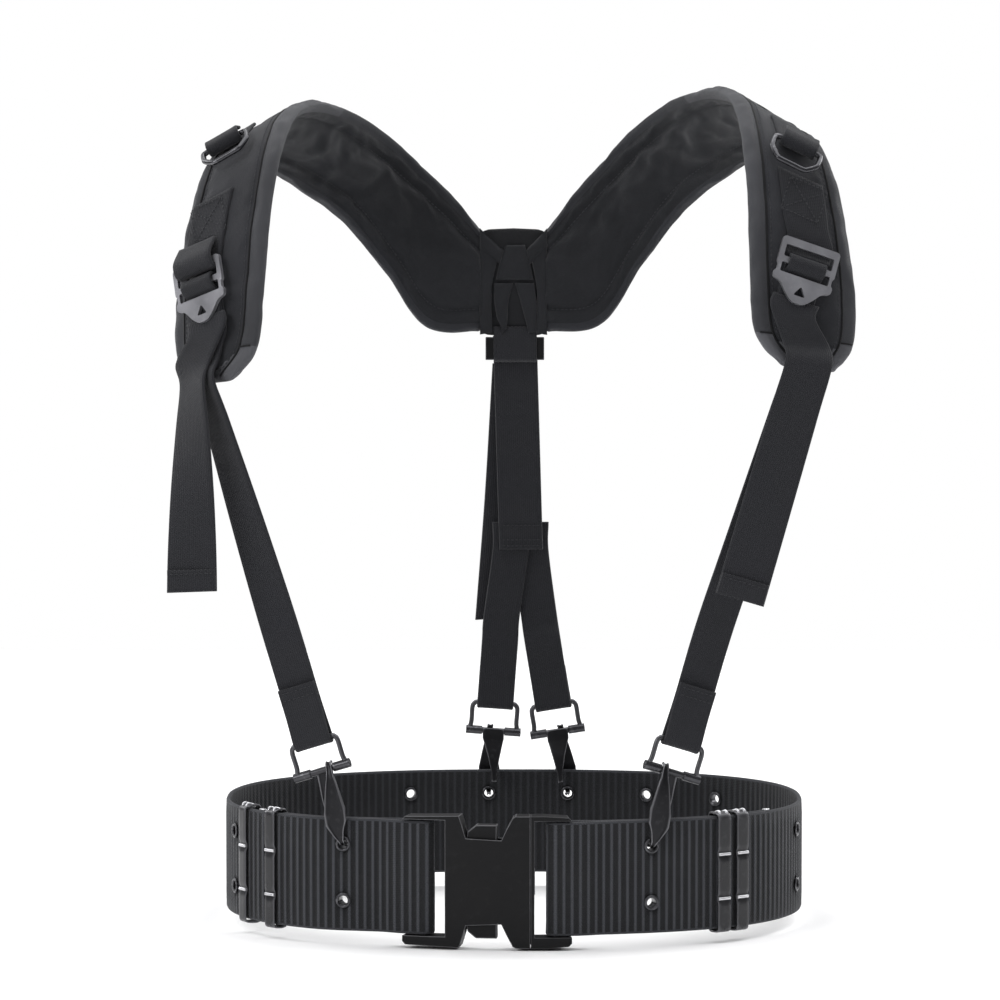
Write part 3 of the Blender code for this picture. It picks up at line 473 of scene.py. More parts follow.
def hard_finish(name, color, roughness, metallic, wear_and_painted_light, wear, grain=450, specular=0.5, edges=0.0):
    """Moulded plastic or metal: fine grain, uneven gloss, small rubbed spots and, if asked for, painted
    highlights on sharp edges.
    """
    g = Graph(name, color, roughness, metallic)
    place = g.place()
    speck = g.noise(place, grain, 3)
    cloud = g.noise(place, 60, 4)
    wear_and_edge_highlight_mask = g.ramp(g.noise(place, 260, 4), 0.0, wear, 0.55, 0.72)
    # Painted highlight: sharp edges, found by pointiness, are mixed towards the rubbed colour.
    if edges:
        geometry = g.nodes.new("ShaderNodeNewGeometry")
        wear_and_edge_highlight_mask = g.math("MAXIMUM", wear_and_edge_highlight_mask, g.ramp(geometry.outputs["Pointiness"], 0.0, edges, 0.52, 0.58))
    base = g.ramp(cloud, scaled(color, 0.88), scaled(color, 1.15), 0.35, 0.65)
    rough = g.ramp(cloud, roughness - 0.06, roughness + 0.12, 0.3, 0.7)
    return g.finish(g.mix(wear_and_edge_highlight_mask, base, wear_and_painted_light), rough, g.bump(speck, 0.00006, 0.35), specular)


MATS = {
    "belt": woven("belt_ribbed_nylon", (0.0245, 0.0255, 0.0290), 0.0009, 0.00135, rib=RIB_PITCH),
    "webbing": woven("strap_webbing_nylon", (0.0185, 0.0190, 0.0225)),
    "thread": woven("stitch_thread", (0.040, 0.041, 0.046), 0.0004, 0.0004, 0.00008),
    "lining": pad_cloth("lining_nylon", (0.0118, 0.0124, 0.0148), 0.0007, 0.0012),
    "cover": pad_cloth("cover_nylon", (0.0215, 0.0222, 0.0260), 0.0008, 0.0008),
    "roll": pad_cloth("edge_roll_nylon", (0.044, 0.045, 0.050), 0.0006, 0.0011),
    "cap": pad_cloth("cap_coated_nylon", (0.050, 0.051, 0.057), 0.0006, 0.0006),
    "patch": pad_cloth("end_patch_nylon", (0.092, 0.093, 0.102), 0.0006, 0.0005),
    "yoke": pad_cloth("yoke_nylon", (0.0085, 0.0088, 0.0105), 0.0007, 0.0009),
    "piping": woven("piping_cord", (0.006, 0.006, 0.007), 0.0006, 0.0006, 0.0001),
    "plastic": hard_finish("moulded_acetal", (0.0042, 0.0042, 0.0049), 0.44, 0.0, (0.012, 0.012, 0.013),
                           0.3, 700, 0.20),
    # The _edge materials are lighter copies for the bevels: painted highlights along the edges.
    "plastic_edge": hard_finish("acetal_edge_painted_highlight", (0.070, 0.070, 0.075), 0.36, 0.0, (0.16, 0.16, 0.17),
                                0.5, 700, 0.40),
    # These two take painted highlights on their sharp edges (edges=...).
    "black_metal": hard_finish("black_oxide_steel", (0.020, 0.020, 0.022), 0.34, 0.85, (0.30, 0.30, 0.32),
                               0.05, edges=0.6),
    "painted": hard_finish("painted_steel", (0.016, 0.016, 0.018), 0.30, 0.30, (0.24, 0.24, 0.26), 0.06,
                           edges=0.5),
    "gunmetal": hard_finish("gunmetal_steel", (0.060, 0.060, 0.065), 0.26, 0.90, (0.45, 0.45, 0.47), 0.2),
    "satin": hard_finish("satin_nickel_steel", (0.30, 0.30, 0.32), 0.42, 0.80, (0.50, 0.50, 0.52), 0.2),
    # Lighter copy for the bevels: a painted highlight along the edges.
    "satin_edge": hard_finish("satin_nickel_edge_painted_highlight", (0.44, 0.44, 0.46), 0.36, 0.80, (0.60, 0.60, 0.62), 0.3),
    "bright": hard_finish("bright_steel", (0.62, 0.62, 0.64), 0.30, 0.85, (0.80, 0.80, 0.82), 0.2),
    # Lighter copy for the bevels: a painted highlight along the edges.
    "bright_edge": hard_finish("steel_edge_painted_highlight", (0.75, 0.75, 0.77), 0.28, 0.85, (0.85, 0.85, 0.87), 0.2),
}


# ---------------------------------------------------------------- mesh makers

def add(name, data):
    """A new object in the scene."""
    obj = bpy.data.objects.new(name, data)
    bpy.context.scene.collection.objects.link(obj)
    return obj


def to_mesh(name, bm):
    mesh = bpy.data.meshes.new(name)
    bm.to_mesh(mesh)
    bm.free()
    return mesh


def new_object(name, mesh, *mats, angle=None):
    """A smooth object in the scene, sharp where its faces meet at more than the angle."""
    obj = add(name, mesh)
    for mat in mats:
        mesh.materials.append(MATS[mat])
    mesh.shade_smooth()
    if angle:
        mesh.set_sharp_from_angle(angle=math.radians(angle))
    return obj


def from_bmesh(name, bm, *mats, angle=None):
    """A closed mesh with its faces outwards, as an object."""
    bmesh.ops.recalc_face_normals(bm, faces=bm.faces)
    if bm.calc_volume(signed=True) < 0:
        bmesh.ops.reverse_faces(bm, faces=bm.faces)
    return new_object(name, to_mesh(name, bm), *mats, angle=angle)


def rings_to_mesh(name, rings, uvs, mats, closed_ends=True, face_mat=None):
    """A closed tube of equal rings of points, its ends filled, with a UV for each point."""
    bm = bmesh.new()
    layer = bm.loops.layers.uv.new("UVMap")
    verts = [[bm.verts.new(p) for p in ring] for ring in rings]
    count = len(rings[0])
    for i in range(len(rings) - 1):
        for j in range(count):
            corners = ((i, j), (i, j + 1), (i + 1, j + 1), (i + 1, j))
            face = bm.faces.new([verts[row][column % count] for row, column in corners])
            for loop, (row, column) in zip(face.loops, corners):
                loop[layer].uv = uvs[row][column % count]
            if face_mat:
                face.material_index = face_mat(i, j)
    if closed_ends:
        bm.faces.new(verts[0])
        bm.faces.new(verts[-1])
    return from_bmesh(name, bm, *mats)


def weld(obj):
    """Merge the points that lie on each other."""
    bm = bmesh.new()
    bm.from_mesh(obj.data)
    bmesh.ops.remove_doubles(bm, verts=bm.verts, dist=1e-7)
    bm.to_mesh(obj.data)
    bm.free()
    return obj


def dense(stations, step):
    """Stations (centre, across, half width) spread evenly on a smooth run through the given ones."""
    centres = [s[0] for s in stations]
    acrosses = [s[1] for s in stations]
    halves = [s[2] for s in stations]
    out = []
    for i in range(len(stations) - 1):
        count = max(1, round((centres[i + 1] - centres[i]).length / step))
        for k in range(count):
            t = i + k / count
            half = halves[i] + (halves[i + 1] - halves[i]) * k / count
            out.append((catmull(centres, t), catmull(acrosses, t), half))
    out.append(stations[-1])
    return out


def ribbon(name, stations, thickness, mat, step, columns, relief=None):
    """Woven strip or bent metal strip with soft edges, and UVs in metres across and along.

    relief(along, across, half) adds height to both faces; its result may be a pair (outer, inner).
    """
    rows = dense(stations, step)
    rings, uvs, run = [], [], 0.0
    edge = min(thickness * 0.5, 0.0012)
    for i, (centre, across, half) in enumerate(rows):
        before = rows[max(i - 1, 0)][0]
        after = rows[min(i + 1, len(rows) - 1)][0]
        across = across.normalized()
        out = (after - before).cross(across).normalized()
        run += (centre - before).length
        flat = [-half + edge + (2 * half - 2 * edge) * k / (columns - 1) for k in range(columns)]
        places = [-half, -half + 0.3 * edge] + flat + [half - 0.3 * edge, half]
        top, low, coords = [], [], []
        for x in places:
            inset = max(abs(x) - (half - edge), 0) / edge
            height = thickness / 2 * math.sqrt(max(1 - inset * inset, 0.0))
            rise = relief(run, x, half) if relief else 0.0
            outer, inner = rise if isinstance(rise, tuple) else (rise, rise)
            fade = 1 - inset
            top.append(centre + across * x + out * (height + outer * fade))
            low.append(centre + across * x - out * (height + inner * fade))
            coords.append((x, run))
        rings.append(top + low[-2:0:-1])
        uvs.append(coords + coords[-2:0:-1])
    return rings_to_mesh(name, rings, uvs, [mat])


def tube(name, points, radius, mat, sides, cyclic=False, per_span=6):
    """Round wire through points, as a smooth mesh."""
    if cyclic:
        wrapped = points[-1:] + points + points[:2]
        line = [catmull(wrapped, 1 + i / per_span) for i in range(len(points) * per_span)]
    else:
        line = [catmull(points, i / per_span) for i in range((len(points) - 1) * per_span + 1)]
    rings, uvs, run, side = [], [], 0.0, None
    count = len(line)
    for i, p in enumerate(line):
        before = line[i - 1] if cyclic or i else p
        after = line[(i + 1) % count] if cyclic or i < count - 1 else p
        along = (after - before).normalized()
        side = (along.orthogonal() if side is None else side - along * side.dot(along)).normalized()
        other = along.cross(side)
        run += (p - before).length if i else 0.0
        ring, coords = [], []
        for k in range(sides):
            a = 2 * math.pi * k / sides
            ring.append(p + (side * math.cos(a) + other * math.sin(a)) * radius)
            coords.append((radius * a, run))
        rings.append(ring)
        uvs.append(coords)
    if cyclic:
        rings.append(rings[0])
        uvs.append(uvs[0])
    obj = rings_to_mesh(name, rings, uvs, [mat], closed_ends=not cyclic)
    return weld(obj) if cyclic else obj


def join(name, objects):
    """Several meshes as one piece."""
    bpy.ops.object.select_all(action="DESELECT")
    for obj in objects:
        obj.select_set(True)
    bpy.context.view_layer.objects.active = objects[0]
    bpy.ops.object.join()
    joined = bpy.context.view_layer.objects.active
    joined.name = name
    joined.data.name = name
    return joined


def stitches(name, lines):
    """Rows of short raised threads along lines of (point, outward normal)."""
    bm = bmesh.new()
    for line in lines:
        points = Line([p for p, _ in line])
        outs = [out for _, out in line]
        count = max(1, round(points.total / STITCH_PITCH))
        for i in range(count):
            p, along = points.at(points.total * (i + 0.5) / count)
            out = outs[min(int(len(outs) * (i + 0.5) / count), len(outs) - 1)]
            turn = Matrix((along.cross(out), out, along)).transposed().to_4x4()
            squeeze = Matrix.Diagonal((THREAD, THREAD * 0.8, STITCH_LENGTH / 2, 1))
            bmesh.ops.create_uvsphere(bm, u_segments=6, v_segments=4, radius=1.0,
                                      matrix=Matrix.Translation(p) @ turn @ squeeze)
    return new_object(name, to_mesh(name, bm), "thread")


def soften(name, bm, mat, width, segments=3, angle=28):
    """Round the sharp edges of a flat-faced solid and make it a piece."""
    bmesh.ops.remove_doubles(bm, verts=bm.verts, dist=1e-6)
    bmesh.ops.dissolve_limit(bm, angle_limit=math.radians(0.5), verts=bm.verts, edges=bm.edges)
    sharp = [e for e in bm.edges if len(e.link_faces) == 2 and e.calc_face_angle(0) > math.radians(angle)]
    # The bevel faces take material 1, the lighter {mat}_edge copy: a painted highlight along every rounded
    # edge.
    bmesh.ops.bevel(bm, geom=sharp, offset=width, segments=segments, profile=0.6, affect="EDGES",
                    clamp_overlap=True, material=1)
    bmesh.ops.triangulate(bm, faces=[f for f in bm.faces if len(f.verts) > 4])
    obj = from_bmesh(name, bm, mat, f"{mat}_edge", angle=35)
    flat = obj.modifiers.new("flat_faces", "WEIGHTED_NORMAL")
    flat.weight = 100
    flat.keep_sharp = True
    apply_modifiers(obj)
    return obj


def refined(name, node, mat, width):
    """A CAD node's shape with rounded edges, which takes the node's place."""
    bm = bmesh.new()
    bm.from_mesh(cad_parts[node].data)
    obj = soften(name, bm, mat, width)
    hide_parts(node)
    return obj


def rounded(points, radius):
    """A closed outline with its corners rounded."""
    out = []
    count = len(points)
    for i, p in enumerate(points):
        p, a, b = Vector(p), Vector(points[i - 1]), Vector(points[(i + 1) % count])
        cut = min(radius, (a - p).length * 0.45, (b - p).length * 0.45)
        start, end = p + (a - p).normalized() * cut, p + (b - p).normalized() * cut
        for k in range(5):
            t = k / 4
            out.append(start * (1 - t) ** 2 + p * 2 * t * (1 - t) + end * t * t)
    return out


def settle(obj, body, slot, *nodes):
    """Ride on a body and stand for the CAD nodes; the slot is not used."""
    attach(obj, body)
    if nodes:
        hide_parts(*nodes)


def plate(name, place, outlines, depth, bevel, mat):
    """A flat plate with rounded edges; the outlines after the first are its holes."""
    curve = bpy.data.curves.new(name, "CURVE")
    curve.dimensions = "2D"
    curve.fill_mode = "BOTH"
    curve.extrude = depth / 2
    for points in outlines:
        spline = curve.splines.new("POLY")
        spline.points.add(len(points) - 1)
        for slot, p in zip(spline.points, points):
            slot.co = (p[0], p[1], 0, 1)
        spline.use_cyclic_u = True
    flat = add(name, curve)
    bpy.context.view_layer.update()
    mesh = bpy.data.meshes.new_from_object(flat.evaluated_get(bpy.context.evaluated_depsgraph_get()))
    bpy.data.objects.remove(flat, do_unlink=True)
    bm = bmesh.new()
    bm.from_mesh(mesh)
    bm.transform(place)
    return soften(name, bm, mat, bevel, 2, 50)


def ladder_lock(side, label):
    """Frame with two slots, waisted at the middle bar, and a lift tab that comes to a round tip."""
    right = [(0.0155, 0.0026), (0.0155, -0.0110), (0.0146, -0.0122), (0.0146, -0.0150), (0.0158, -0.0162),
             (0.0155, -0.0196), (0.0112, -0.0206), (0.0070, -0.0258), (0.0030, -0.0292)]
    outer = rounded([(-x, y) for x, y in right] + right[::-1], 0.0022)

    def slot_between(low, high, half=0.0130):
        return rounded([(-half, low), (half, low), (half, high), (-half, high)], 0.0008)

    hole = rounded([(-0.0032, -0.0252), (0.0032, -0.0252), (0.0, -0.0200)], 0.0012)
    outlines = [outer, slot_between(-0.0076, -0.0014), slot_between(-0.0156, -0.0106), hole]
    obj = plate(f"ladder_lock_{label}", lock_frame(side), outlines, 0.0021, 0.00035, "satin")
    settle(obj, f"adjuster_{label}", "satin_metal", f"adjuster_{label}")


# ---------------------------------------------------------------- belt webbing

def wrap_offset(distance):
    """A layer's distance from the ring's middle line, which widens to wrap the buckle bar."""
    return BELT_LAYER + (BAR_WRAP - BELT_LAYER) * (1 - smoothstep((distance - 0.010) / 0.014))


def belt_half(side):
    """Stations of one half: inner tail, round the buckle bar and out to the back centre."""
    line = half_ring(side)
    tail = 0.0
    while side * line.at(tail)[0].x < TAIL_END_X:
        tail += 0.0005

    def layer(length, sign):
        count = round(length / 0.004)
        for i in range(1, count + 1):
            distance = length * i / count
            p, step = line.at(distance)
            yield p + outward(step, p) * (sign * wrap_offset(distance))

    places = list(layer(tail, -1))[::-1]
    pivot, step = line.at(0.0)
    out = outward(step, pivot)
    inward = (buckle_point(0, 0, 0) - pivot).normalized()
    for i in range(9):
        a = math.pi * i / 8
        places.append(pivot + inward * BAR_WRAP * math.sin(a) - out * BAR_WRAP * math.cos(a))
    return places + list(layer(line.total, 1))


def ribs(along, across, half):
    """Ribs across the webbing, which fade into flat selvedges."""
    flat = smoothstep((half - abs(across) - 0.0012) / 0.0014)
    wave = abs(math.sin(math.pi * along / RIB_PITCH)) ** 1.4
    strength = 0.85 + 0.3 * noise.noise(Vector((along * 18, 0.3, 0)))
    return RIB_HEIGHT * flat * (wave - 0.6) * strength


def belt_webbing():
    """One webbing from end to end, with the eyelet holes cut through it."""
    middle = UP * (BELT_LOW + BELT_HIGH) / 2
    half = (BELT_HIGH - BELT_LOW) / 2
    places = belt_half(-1) + list(reversed(belt_half(1)))[1:]
    stations = [(p + middle, UP, half) for p in places]
    obj = ribbon("belt_webbing", stations, BELT_THICK - 0.0003, "belt", RIB_PITCH / 6, 9, ribs)
    cutters = []
    for place, _ in eyelet_places():
        bm = bmesh.new()
        bmesh.ops.create_cone(bm, cap_ends=True, segments=20, radius1=EYELET_CUT, radius2=EYELET_CUT,
                              depth=0.016)
        cut = add("cut", to_mesh("cut", bm))
        cut.matrix_world = place
        cutters.append(cut)
    bpy.context.view_layer.update()
    cutter = join("eyelet_cutter", cutters)
    cutter.data.materials.append(MATS["belt"])
    mod = obj.modifiers.new("holes", "BOOLEAN")
    mod.operation = "DIFFERENCE"
    mod.object = cutter
    apply_modifiers(obj)
    bpy.data.objects.remove(cutter, do_unlink=True)
    obj.data.shade_smooth()
    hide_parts("belt_webbing_left", "belt_webbing_right")
    ribbon_length(stations)
    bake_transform(obj)


def ribbon_length(stations):
    """Length of a strip along its middle."""
    return sum((b[0] - a[0]).length for a, b in zip(stations, stations[1:]))


def apply_modifiers(obj):
    """Make the modifiers' result the object's own mesh."""
    bpy.context.view_layer.update()
    graph = bpy.context.evaluated_depsgraph_get()
    mesh = bpy.data.meshes.new_from_object(obj.evaluated_get(graph))
    obj.modifiers.clear()
    obj.data = mesh


def eyelet_places():
    """Each eyelet's frame and name; the low ones under the rear hooks come last."""
    spots = [(label, row) for label in EYELETS for row in EYELET_ROWS]
    spots.sort(key=lambda spot: spot[0].startswith("rear") and spot[1] == "low")
    return [(belt_frame(*EYELETS[label], EYELET_ROWS[row]), f"eyelet_{label}_{row}") for label, row in spots]


def eyelet(name, place, layers):
    """A turned eyelet with rolled flanges on both faces."""
    top = BELT_LAYER + BELT_THICK / 2 + 0.0007
    low = -top if layers == 2 else BELT_LAYER - BELT_THICK / 2 - 0.0007
    section = []
    for face, turn in ((top, 1), (low, -1)):
        middle = (EYELET_HOLE + EYELET_FLANGE) / 2
        reach = (EYELET_FLANGE - EYELET_HOLE) / 2
        arc = [math.pi * k / 8 for k in range(9)]
        if turn < 0:
            arc.reverse()
        section += [(middle - reach * math.cos(a), face + turn * 0.0006 * math.sin(a)) for a in arc]
        if turn > 0:
            section += [(EYELET_HOLE + 0.0005, top - 0.0003), (EYELET_HOLE + 0.0005, low + 0.0003)]
    sides = 28
    rings = []
    for k in range(sides + 1):
        a = 2 * math.pi * (k % sides) / sides
        rings.append([place @ Vector((r * math.cos(a), r * math.sin(a), z)) for r, z in section])
    uvs = [[(0.0, 0.0)] * len(section)] * (sides + 1)
    return weld(rings_to_mesh(name + "_ring", rings, uvs, ["gunmetal"], closed_ends=False))


def build_eyelets():
    """Every eyelet, through two layers of webbing where the belt's tails are folded."""
    for place, name in eyelet_places():
        x = place.translation.x
        doubled = place.translation.y < 0 and abs(x) < TAIL_END_X
        obj = eyelet(name, place, 2 if doubled else 1)
        body = "root" if x < HINGE_X else "belt_right"
        node = [name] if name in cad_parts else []
        settle(obj, body, "black_metal", *node)


# ---------------------------------------------------------------- keepers and clips

def keeper(place, x, width):
    """Stamped metal band round the belt: bulging plates between creases, with bright bars on the creases as
    painted highlights.
    """
    at = belt_frame(x, True, (BELT_LOW + BELT_HIGH) / 2)
    half_h, half_w, round_off = 0.0297, 0.0046, 0.0016
    creases = (0.0094, -0.0130)

    def corner(v):
        return round_off * (1 - min((half_h - abs(v)) / round_off, 1.0)) ** 2

    outline = []
    for i in range(53):
        v = half_h - 2 * half_h * i / 52
        sag = 0.0009 * (1 - smoothstep(min(abs(v - c) for c in creases) / 0.0035))
        outline.append((v, half_w + 0.0004 - sag - corner(v)))
    for i in range(13):
        v = -half_h + 2 * half_h * i / 12
        outline.append((v, -half_w + corner(v)))
    stations = with_half(profile(at, outline + outline[:1]), width)
    band = ribbon(f"keeper_{place}_band", stations, 0.0010, "painted", 0.0012, 5)
    bars = []
    # Painted highlights: the bright steel bars on the creases stand in for the glint on the band's ridges.
    for v in creases:
        ends = [at @ Vector((k * width * 0.46, v, half_w + 0.0004)) for k in (-1, 0, 1)]
        bars.append(tube("bar", ends, 0.00085, "bright", 10))
    for k in (-0.28, 0.28):
        hook = [(k * width, half_h - 0.0010, half_w - 0.0006), (k * width, half_h + 0.0010, half_w - 0.0016),
                (k * width, half_h + 0.0008, 0.0010), (k * width, half_h - 0.0004, -0.0014)]
        bars.append(tube("prong", [at @ Vector(p) for p in hook], 0.00075, "bright", 8))
    trim = join(f"keeper_{place}_bars", bars)
    body = f"keeper_{place}"
    settle(band, body, "black_metal", body)
    settle(trim, body, "satin_metal")


def hard_parts():
    """Buckle, prongs, slider and tail clips, with rounded edges."""
    settle(refined("buckle_housing", "buckle_female_housing", "plastic", 0.0006), "root", "black_plastic")
    settle(refined("buckle_frame", "buckle_male_frame", "plastic", 0.0006), "belt_right", "black_plastic")
    for label in ("upper", "lower"):
        piece = refined(f"buckle_prong_{label}", f"prong_{label}", "plastic", 0.0006)
        settle(piece, f"prong_{label}", "black_plastic")
    settle(refined("slider_loop", "rear_slider", "plastic", 0.0005), "root", "black_plastic")
    bm = bmesh.new()
    bmesh.ops.create_cube(bm, size=1.0)
    bm.transform(Matrix.Translation(SEAM_RIB_AT) @ Matrix.Diagonal((*SEAM_RIB_SIZE, 1)))
    settle(soften("buckle_seam_rib", bm, "plastic", 0.0002), "root", "black_plastic")
    for label, body in (("left", "root"), ("right", "belt_right")):
        clip = refined(f"belt_end_clip_{label}", f"tail_clip_{label}", "bright", 0.0006)
        settle(clip, body, "satin_metal")


# ---------------------------------------------------------------- shoulder pads

def roll_width(s):
    """Width of the round edge panels at a station: narrow at the back, wide in front."""
    return ROLL + ROLL_GROWTH * smoothstep((s - 5.0) / 2.0)


def pad_section(side, s):
    """Loop of one cross-section: cover, outer roll, lining and neck roll, as (point, pinned, uv)."""
    neck, outer = pad_edge(side, 0, s), pad_edge(side, 1, s)
    width = (outer - neck).length
    across = (outer - neck) / width
    taper = math.sqrt(max(1 - max((s - LAST + 0.35) / 0.35, 0, (0.18 - s) / 0.18 * 0.75) ** 2, 0.04))
    roll = min(roll_width(s), width * 0.2)
    loop = []

    def point(x, off, pinned):
        t = x / width
        p = neck + across * x + pad_out(side, s, t) * off * taper
        loop.append((p, pinned, x))

    def cover(x):
        seam = math.exp(-((min(x - roll, width - roll - x)) / 0.0016) ** 2)
        return PAD_HALF + 0.0004 - 0.0013 * seam

    def lining(x):
        near = min(x, width - x)
        seam = math.exp(-((near - roll) / 0.0013) ** 2) + math.exp(-((near - QUILT) / 0.0016) ** 2)
        puff = 0.0010 * smoothstep((near - QUILT) / 0.006)
        return PAD_HALF + 0.0006 + puff - 0.0017 * min(seam, 1)

    for k in range(COVER_COLUMNS + 1):
        x = roll + (width - 2 * roll) * k / COVER_COLUMNS
        point(x, cover(x), k in (0, COVER_COLUMNS))
    for k in range(1, 8):
        a = math.pi * k / 8
        point(width - roll + roll * math.sin(a), (PAD_HALF + 0.0006) * math.cos(a), k == 4)
    for k in range(2 * COVER_COLUMNS + 1):
        x = width - roll - (width - 2 * roll) * k / (2 * COVER_COLUMNS)
        near = min(x, width - x)
        point(x, -lining(x), k in (0, 2 * COVER_COLUMNS) or abs(near - QUILT) < 0.0010)
    for k in range(1, 8):
        a = math.pi * k / 8
        point(roll - roll * math.sin(a), -(PAD_HALF + 0.0006) * math.cos(a), k == 4)
    return loop


def pad_face_material(row, column):
    """0 cover, 1 lining, 2 roll, 3 cap and 4 end patch."""
    s = LAST * (row + 0.5) / PAD_ROWS
    roll_start, lining_start = COVER_COLUMNS, COVER_COLUMNS + 8
    lining_end = lining_start + 2 * COVER_COLUMNS
    if lining_start <= column < lining_end:
        return 1
    if column < roll_start:
        corner = abs(column + 0.5 - roll_start / 2) / (roll_start / 2)
        if CAP_START < s < CAP_END:
            return 3
        return 4 if s > 11.95 - 1.1 * max(corner - 0.25, 0) and corner > 0.25 else 0
    if s > PATCH_START:
        return 4
    return 2 if s > 4.6 else 0


def blow_up(obj, pins):
    """Swell a closed cloth form between its sewn lines, by at most PAD_SWELL."""
    rest = [v.co.copy() for v in obj.data.vertices]
    group = obj.vertex_groups.new(name="sewn")
    group.add(pins, 1.0, "REPLACE")
    cloth = obj.modifiers.new("cloth", "CLOTH")
    cloth.settings.use_pressure = True
    cloth.settings.uniform_pressure_force = 4.0
    cloth.settings.vertex_group_mass = "sewn"
    cloth.settings.effector_weights.gravity = 0
    cloth.settings.quality = 6
    cloth.settings.tension_stiffness = 6
    cloth.settings.bending_stiffness = 0.05
    cloth.settings.shrink_min = -0.012
    scene = bpy.context.scene
    scene.frame_start, scene.frame_end = 1, CLOTH_STEPS
    for step in range(1, CLOTH_STEPS + 1):
        scene.frame_set(step)
    graph = bpy.context.evaluated_depsgraph_get()
    moved = [v.co.copy() for v in obj.evaluated_get(graph).data.vertices]
    obj.modifiers.clear()
    obj.vertex_groups.clear()
    scene.frame_set(1)
    for v, a, b in zip(obj.data.vertices, rest, moved):
        shift = b - a
        if shift.length > PAD_SWELL:
            shift *= PAD_SWELL / shift.length
        v.co = a + shift


def crease(obj, depth, lining_depth=None, columns=1):
    """Soft folds in the fabric; a pad's lining has its own depth, found by the mesh column."""
    normals = [v.normal.copy() for v in obj.data.vertices]
    for i, (v, out) in enumerate(zip(obj.data.vertices, normals)):
        inside = lining_depth and COVER_COLUMNS + 9 < i % columns < COVER_COLUMNS * 3 + 7
        wide = noise.noise(v.co * 42 + Vector((0, 0, 7)))
        fine = noise.noise(v.co * 130)
        fold = max(1 - abs(noise.noise(Vector((v.co.x * 34, v.co.y * 30, v.co.z * 80)))) * 3, 0)
        rise = 0.5 * wide + 0.3 * fine + 0.6 * fold ** 2 - 0.3
        v.co += out * (lining_depth if inside else depth) * rise


def shoulder_pad(side, label):
    """Foam, cover, lining, rolls, cap and end patch as one form, blown up between its seams."""
    places = [LAST * row / PAD_ROWS for row in range(PAD_ROWS + 1)]
    runs = Line([pad_point(side, s, 0.5) for s in places]).runs
    rings, uvs, pins = [], [], []
    for row, (s, run) in enumerate(zip(places, runs)):
        loop = pad_section(side, s)
        rings.append([p for p, _, _ in loop])
        uvs.append([(x, run) for _, _, x in loop])
        edge_row = row in (0, PAD_ROWS)
        pins += [row * len(loop) + k for k, (_, pinned, _) in enumerate(loop) if pinned or edge_row]
    obj = rings_to_mesh(f"shoulder_pad_{label}_foam", rings, uvs,
                        ["cover", "lining", "roll", "cap", "patch"], face_mat=pad_face_material)
    blow_up(obj, pins)
    crease(obj, 0.0007, 0.0021, len(rings[0]))
    sub = obj.modifiers.new("fine", "SUBSURF")
    sub.levels = sub.render_levels = 1
    settle(obj, "root", "pad_fabric", f"shoulder_pad_{label}", f"shoulder_cap_{label}", f"end_patch_{label}")
    return obj


def edge_line(side, seam, outer_edge, offset):
    """A line along a pad at a distance in from one edge, with its outward normals."""
    start, end, count = 0.15, LAST - 0.12, 110
    line = []
    for i in range(count + 1):
        s = start + (end - start) * i / count
        width = (pad_edge(side, 1, s) - pad_edge(side, 0, s)).length
        t = min(seam(s), width * 0.45) / width
        t = 1 - t if outer_edge else t
        out = pad_out(side, s, t)
        line.append((pad_point(side, s, t) + out * offset, out))
    return line


def cross_line(side, s, t0, t1):
    """A line across a pad, with its outward normals."""
    line = []
    for i in range(17):
        t = t0 + (t1 - t0) * i / 16
        out = pad_out(side, s, t)
        line.append((pad_point(side, s, t) + out * PAD_HALF, out))
    return line


def surface_of(obj):
    """An object's surface, to lay lines on."""
    bpy.context.view_layer.update()
    return BVHTree.FromObject(obj, bpy.context.evaluated_depsgraph_get())


def webbing_on(tree, side, runs):
    """Stations of a strap that lies on a pad's surface."""
    lift = STRAP_THICK / 2 + 0.0002
    line = [(pad_point(side, s, MIDDLE[side], PAD_HALF), pad_out(side, s, MIDDLE[side])) for s in runs]
    acrosses = [pad_station(side, s, MIDDLE[side], 0)[1] for s in runs]
    return [(p, across) for (p, _), across in zip(laid_on(tree, line, lift), acrosses)]


def laid_on(tree, line, lift=0.0001):
    """The line moved along its normals to a height over a surface."""
    laid = []
    for p, out in line:
        hit = tree.ray_cast(p + out * 0.010, -out, 0.020)[0]
        laid.append(((hit or tree.find_nearest(p)[0]) + out * lift, out))
    return laid


def pad_trim(side, label, tree):
    """Piping along the cover's seams, the cap and the end patches, and stitching on both faces."""
    seams = [(edge_line(side, roll_width, edge, PAD_HALF), 0.00062, 1) for edge in (False, True)]
    seams += [(cross_line(side, s, 0.13, 0.87), 0.00055, 2) for s in (CAP_START, CAP_END)]
    seams += [(cross_line(side, PATCH_START, t, t + 0.14), 0.0005, 2) for t in (0.03, 0.83)]
    cords = [tube("cord", [p for p, _ in laid_on(tree, line)], radius, "piping", 8, per_span=per_span)
             for line, radius, per_span in seams]
    settle(join(f"pad_piping_{label}", cords), "root", "trim_fabric")
    rows = [edge_line(side, lambda s: roll_width(s) + 0.0022, edge, PAD_HALF) for edge in (False, True)]
    rows += [cross_line(side, s, 0.15, 0.85) for s in (CAP_START + 0.12, CAP_END - 0.12)]
    for edge in (False, True):
        quilted = edge_line(side, lambda s: QUILT, edge, -PAD_HALF - 0.0001)
        rows.append([(p, -out) for p, out in quilted])
    rows = [laid_on(tree, row) for row in rows]
    settle(stitches(f"pad_stitching_{label}", rows), "root", "trim_fabric")


